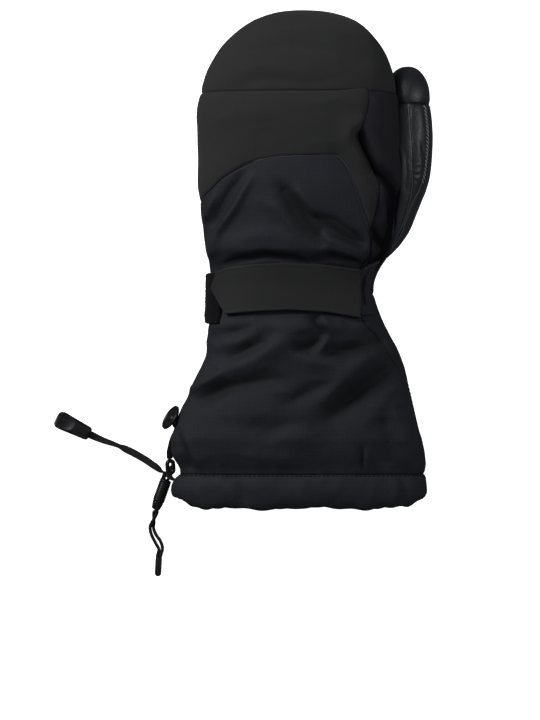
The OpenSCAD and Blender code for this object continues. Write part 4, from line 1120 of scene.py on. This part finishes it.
for name, node, x in (("tailA", "cord_tail_a", -1), ("tailB", "cord_tail_b", 1)):
    route = tailMiddle + tailApart * x
    intoSleeve = [[sleeve[0][0] - x, -32.9, 2.3], [sleeve[0][0] - 0.9 * x, -34.6, 2.3]]
    bent = spline([inLock(x, cord["sink"], -21.2), *route, *intoSleeve], 90)
    line = even(np.concatenate([[inLock(x, cord["sink"], -19)], bent]), cord["step"])
    made = sweep(name, line, cord["wide"] + cord["fluff"], cord["wide"] + cord["fluff"], "tails",
                 "elastic_cord", [node])
    arc(line, 0)[-1] / 1000

# The tape leaves the lock's bar and twists along its way to the rubber pull
pull = {"near": (-136.2, 47.6, 4.8), "far": (-158, 58.4, 4.8), "sides": 44, "square": 0.72, "dip": 1.9,
        "dipAt": 0.78, "groove": 0.35, "grooveAt": 0.16}
tapeTurn = [90, 40, 18, 14, 14, 16, 14, 0, -34, -66, -58, -50, -44, -34, -12, 0]
lean = math.radians(21)
bar = inLock(0, 1.7, 3.3)
pullWay = lockSide * math.cos(lean) + lockUp * math.sin(lean)
pullNear, pullFar = np.array(pull["near"]), np.array(pull["far"])
tapeLine = even(spline([
    bar + 1.4 * pullWay, bar + 3 * pullWay, [-91.6, 25.4, 5], [-95, 27.7, 3.9], [-98.5, 30.1, 2.9],
    [-102, 32.3, 2.7], [-107, 35.1, 2.5], [-112, 37.6, 2.5], [-117, 39.9, 2.8], [-122, 41.8, 2.8],
    [-127, 43.5, 3.0], [-131, 45.2, 3.7], pullNear, pullNear + 2 * unit(pullFar - pullNear)], 160), 0.6)
tape = sweep("pullTape", tapeLine, [4.6, 4.8, 5.0, 5.0], 1.2, "pull", slotOf["pull_tape"], ["pull_tape"],
             turn=tapeTurn, sides=20, square=2.5, ends=0.3)
c = np.linspace(0, 2 * math.pi, 25)
loop = bar + 1.35 * (np.cos(c)[:, None] * pullWay + np.sin(c)[:, None] * np.cross(pullWay, lockDown))
sweep("tapeLoop", even(loop, 0.3), 4.2, 0.9, "pull", slotOf["pull_tape"], up=lockDown, turn=90, sides=12,
      square=2.5, ends=0.01)

# Share of the pull's length, its width and its thickness there
grip = np.array([
    (0, 6.6, 5.4), (0.02, 7.8, 6.8), (0.05, 8.9, 7.8), (0.12, 9.4, 8.6), (0.3, 9.9, 9), (0.55, 10.8, 9),
    (0.8, 11.8, 9), (0.87, 11.7, 8.8), (0.92, 11.1, 8.4), (0.96, 9.9, 7.6), (0.985, 8.4, 6.6), (1, 6.4, 5.2)])
way = pullFar - pullNear
long = np.linalg.norm(way)
ahead = way / long
sideways = np.cross(ahead, (0, 0, 1))
at = np.concatenate([np.linspace(0, 0.12, 10), np.linspace(0.15, 0.88, 34), np.linspace(0.9, 1, 12)])
wide, thick = np.interp(at, grip[:, 0], grip[:, 1]), np.interp(at, grip[:, 0], grip[:, 2])
at, wide, thick = at[:, None], wide[:, None], thick[:, None]
c = 2 * math.pi * np.arange(pull["sides"]) / pull["sides"]
points = (pullNear + way * at)[:, None] + sideways * (wide / 2 * power(np.cos(c), pull["square"]))[..., None]
lift = thick / 2 * power(np.sin(c), pull["square"])
where = np.hypot((at - pull["dipAt"]) * long / 7.5, (wide / 2 * np.cos(c)) / 4.6)
dip = pull["dip"] * np.clip(1 - where**2.4, 0, 1) * smooth(np.sin(c), 0.25, 0.6)
groove = pull["groove"] * np.exp(-(((at - pull["grooveAt"]) * long) / 0.5) ** 2) * np.ones_like(c)
points = points + np.array([0, 0, 1.0]) * (lift - dip - groove * np.sin(c))[..., None]
index, quads = gridFaces(len(at), pull["sides"], closeCols=True)
faces = quads.tolist() + [index[0, :-1][::-1].tolist(), index[-1, :-1].tolist()]
flat = points.reshape(-1, 3)
faces = outwards(faces, flat, 900, pullNear + way * 0.5)
addMesh("rubberPull", flat, faces, "pull", "soft_rubber", replaces=["rubber_pull"])
arc(tapeLine, 0)[-1] / 1000
print("cords and fittings made")


# One node tree lays stitches along lines
def stitchTree():
    tree = bpy.data.node_groups.new("stitchRow", "GeometryNodeTree")
    face = tree.interface
    face.new_socket("Geometry", in_out="INPUT", socket_type="NodeSocketGeometry")
    face.new_socket("Spacing", in_out="INPUT", socket_type="NodeSocketFloat")
    face.new_socket("Size", in_out="INPUT", socket_type="NodeSocketVector")
    face.new_socket("Slant", in_out="INPUT", socket_type="NodeSocketFloat")
    face.new_socket("Material", in_out="INPUT", socket_type="NodeSocketMaterial")
    face.new_socket("Geometry", in_out="OUTPUT", socket_type="NodeSocketGeometry")
    nodes, links = tree.nodes, tree.links
    given, groupOut = nodes.new("NodeGroupInput"), nodes.new("NodeGroupOutput")
    curve = nodes.new("GeometryNodeMeshToCurve")
    links.new(given.outputs["Geometry"], curve.inputs["Mesh"])
    spaced = nodes.new("GeometryNodeResampleCurve")
    spaced.mode = "LENGTH"
    links.new(curve.outputs[0], spaced.inputs["Curve"])
    links.new(given.outputs["Spacing"], spaced.inputs["Length"])
    tangent = nodes.new("GeometryNodeInputTangent")
    up = nodes.new("GeometryNodeInputNamedAttribute")
    up.data_type = "FLOAT_VECTOR"
    up.inputs["Name"].default_value = "up"
    forward = nodes.new("FunctionNodeAlignRotationToVector")
    forward.axis = "X"
    links.new(tangent.outputs[0], forward.inputs["Vector"])
    upright = nodes.new("FunctionNodeAlignRotationToVector")
    upright.axis = "Z"
    upright.pivot_axis = "X"
    links.new(forward.outputs[0], upright.inputs["Rotation"])
    links.new(up.outputs["Attribute"], upright.inputs["Vector"])
    slanted = nodes.new("FunctionNodeRotateRotation")
    slanted.rotation_space = "LOCAL"
    axis = nodes.new("FunctionNodeAxisAngleToRotation")
    axis.inputs["Axis"].default_value = (0, 0, 1)
    links.new(given.outputs["Slant"], axis.inputs["Angle"])
    links.new(upright.outputs[0], slanted.inputs["Rotation"])
    links.new(axis.outputs[0], slanted.inputs["Rotate By"])
    ball = nodes.new("GeometryNodeMeshUVSphere")
    ball.inputs["Segments"].default_value = 6
    ball.inputs["Rings"].default_value = 5
    ball.inputs["Radius"].default_value = 0.5
    lying = nodes.new("GeometryNodeTransform")
    lying.inputs["Rotation"].default_value = (0, math.pi / 2, 0)
    links.new(ball.outputs["Mesh"], lying.inputs["Geometry"])
    sized = nodes.new("GeometryNodeTransform")
    links.new(lying.outputs["Geometry"], sized.inputs["Geometry"])
    links.new(given.outputs["Size"], sized.inputs["Scale"])
    copies = nodes.new("GeometryNodeInstanceOnPoints")
    links.new(spaced.outputs[0], copies.inputs["Points"])
    links.new(sized.outputs["Geometry"], copies.inputs["Instance"])
    links.new(slanted.outputs[0], copies.inputs["Rotation"])
    real = nodes.new("GeometryNodeRealizeInstances")
    links.new(copies.outputs[0], real.inputs[0])
    painted = nodes.new("GeometryNodeSetMaterial")
    links.new(real.outputs[0], painted.inputs["Geometry"])
    links.new(given.outputs["Material"], painted.inputs["Material"])
    links.new(painted.outputs[0], groupOut.inputs[0])
    return tree


# Spacing, size and slant of each row of thread, in millimetres and degrees
threads = {
    "hemStitches": {"spacing": 3.0, "size": (2.1, 0.85, 0.6), "slant": 0, "finish": "darkThread"},
    "shellStitches": {"spacing": 2.7, "size": (1.9, 0.42, 0.34), "slant": 0, "finish": "thread"},
    "leatherStitches": {"spacing": 2.2, "size": (1.6, 0.42, 0.36), "slant": 0, "finish": "thread"},
    # The whip stitches use the light thread finish that paints their highlights
    "whipStitches": {"spacing": 2.4, "size": (4.4, 0.95, 0.8), "slant": 52, "finish": "highlightThread"},
    "bartack": {"spacing": 0.75, "size": (1.9, 0.45, 0.4), "slant": 80, "finish": "darkThread"},
}
rowTree = stitchTree()


# Stitches along lines of points and ways up
def stitches(name, lines):
    row = threads[name]
    mesh = bpy.data.meshes.new(name + "Lines")
    points = np.concatenate([line for line, _ in lines])
    ups = np.concatenate([up for _, up in lines])
    edges, first = [], 0
    for line, _ in lines:
        edges += [(first + i, first + i + 1) for i in range(len(line) - 1)]
        first += len(line)
    mesh.from_pydata(toRow(points).tolist(), edges, [])
    upward = mesh.attributes.new("up", "FLOAT_VECTOR", "POINT")
    upward.data.foreach_set("vector", ups.astype(np.float32).ravel())
    helper = bpy.data.objects.new(name + "Lines", mesh)
    scene.collection.objects.link(helper)
    modifier = helper.modifiers.new("stitches", "NODES")
    modifier.node_group = rowTree
    values = {"Spacing": row["spacing"] / 1000, "Size": [s / 1000 for s in row["size"]],
              "Slant": math.radians(row["slant"]), "Material": finishes[row["finish"]]}
    for socket in rowTree.interface.items_tree:
        if socket.in_out == "INPUT" and socket.name in values:
            modifier[socket.identifier] = values[socket.name]
    bpy.context.view_layer.update()
    made = bpy.data.meshes.new_from_object(helper.evaluated_get(bpy.context.evaluated_depsgraph_get()))
    bpy.data.objects.remove(helper)
    made.polygons.foreach_set("use_smooth", np.ones(len(made.polygons), bool))
    piece = bpy.data.objects.new(name, made)
    scene.collection.objects.link(piece)
    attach(piece, "shell")


hemLine = hemLine + hemUps * 0.1
closedHem = np.concatenate([hemLine, hemLine[:1]]), np.concatenate([hemUps, hemUps[:1]])
stitches("hemStitches", [closedHem])
fineRows = [inset(panels["back"], "high", 2.2, span=(0.18, 0.86)), inset(panels["wrist"], "high", 2.0),
            inset(panels["side"], "high", 2.2, span=(0.1, 0.8))]
stitches("shellStitches", fineRows)
leatherRows = [inset(panels["thumbInner"], "low", 1.3), inset(panels["thumbBack"], "low", 1.3),
               inset(panels["thumbFront"], "high", 1.3), inset(panels["index"], "low", 1.4)]
stitches("leatherStitches", leatherRows)
stitches("whipStitches", [inset(panels["thumbBack"], "low", 0.9, lift=0.3, span=(0.55, 0.98))])


# A thin rolled edge along a seam, in a lighter finish whose colour paints the highlight along the seam:
# panel, its side, distance from it, thickness, span and slot
edges = {
    "archEdge": ("wrist", "high", 0.25, 0.6, (0.02, 0.72), "ripstop"),
    "thumbEdgeInner": ("thumbInner", "low", 0.35, 1.0, (0.0, 1.0), "leather"),
    "palmEdge": ("index", "low", 0.2, 1.0, (0.4, 1.0), "leather"),
    "thumbEdgeOuter": ("thumbFront", "high", 0.35, 1.0, (0.0, 0.72), "leather"),
}
for name, (panelName, side, far, thick, span, slot) in edges.items():
    line, ups = inset(panels[panelName], side, far, lift=0.05, span=span)
    piece = sweep(name, even(line, 0.8), thick, thick, "shell", slot, up=ups.mean(0), sides=8)
    piece.data.materials[0] = finishes["rolledEdgeHighlight" if slot == "leather" else "seamEdgeHighlight"]

rows, cols = anchorFace.shape[:2]
tack = []
for share in (0.62, 0.68):
    picked = slice(int(rows * 0.22), int(rows * 0.8)), int(cols * share)
    tack.append((anchorFace[picked] + anchorUp[picked] * 0.15, anchorUp[picked]))
stitches("bartack", tack)
edgeLine = anchorFace[-2, 2:-2] + anchorUp[-2, 2:-2] * 0.1
# The anchor's edge uses the seam-edge finish, whose light colour paints the highlight along it
anchorEdge = sweep("anchorEdge", even(edgeLine, 0.8), 0.6, 0.6, "shell", "ripstop", sides=8)
anchorEdge.data.materials[0] = finishes["seamEdgeHighlight"]
print("stitching made")
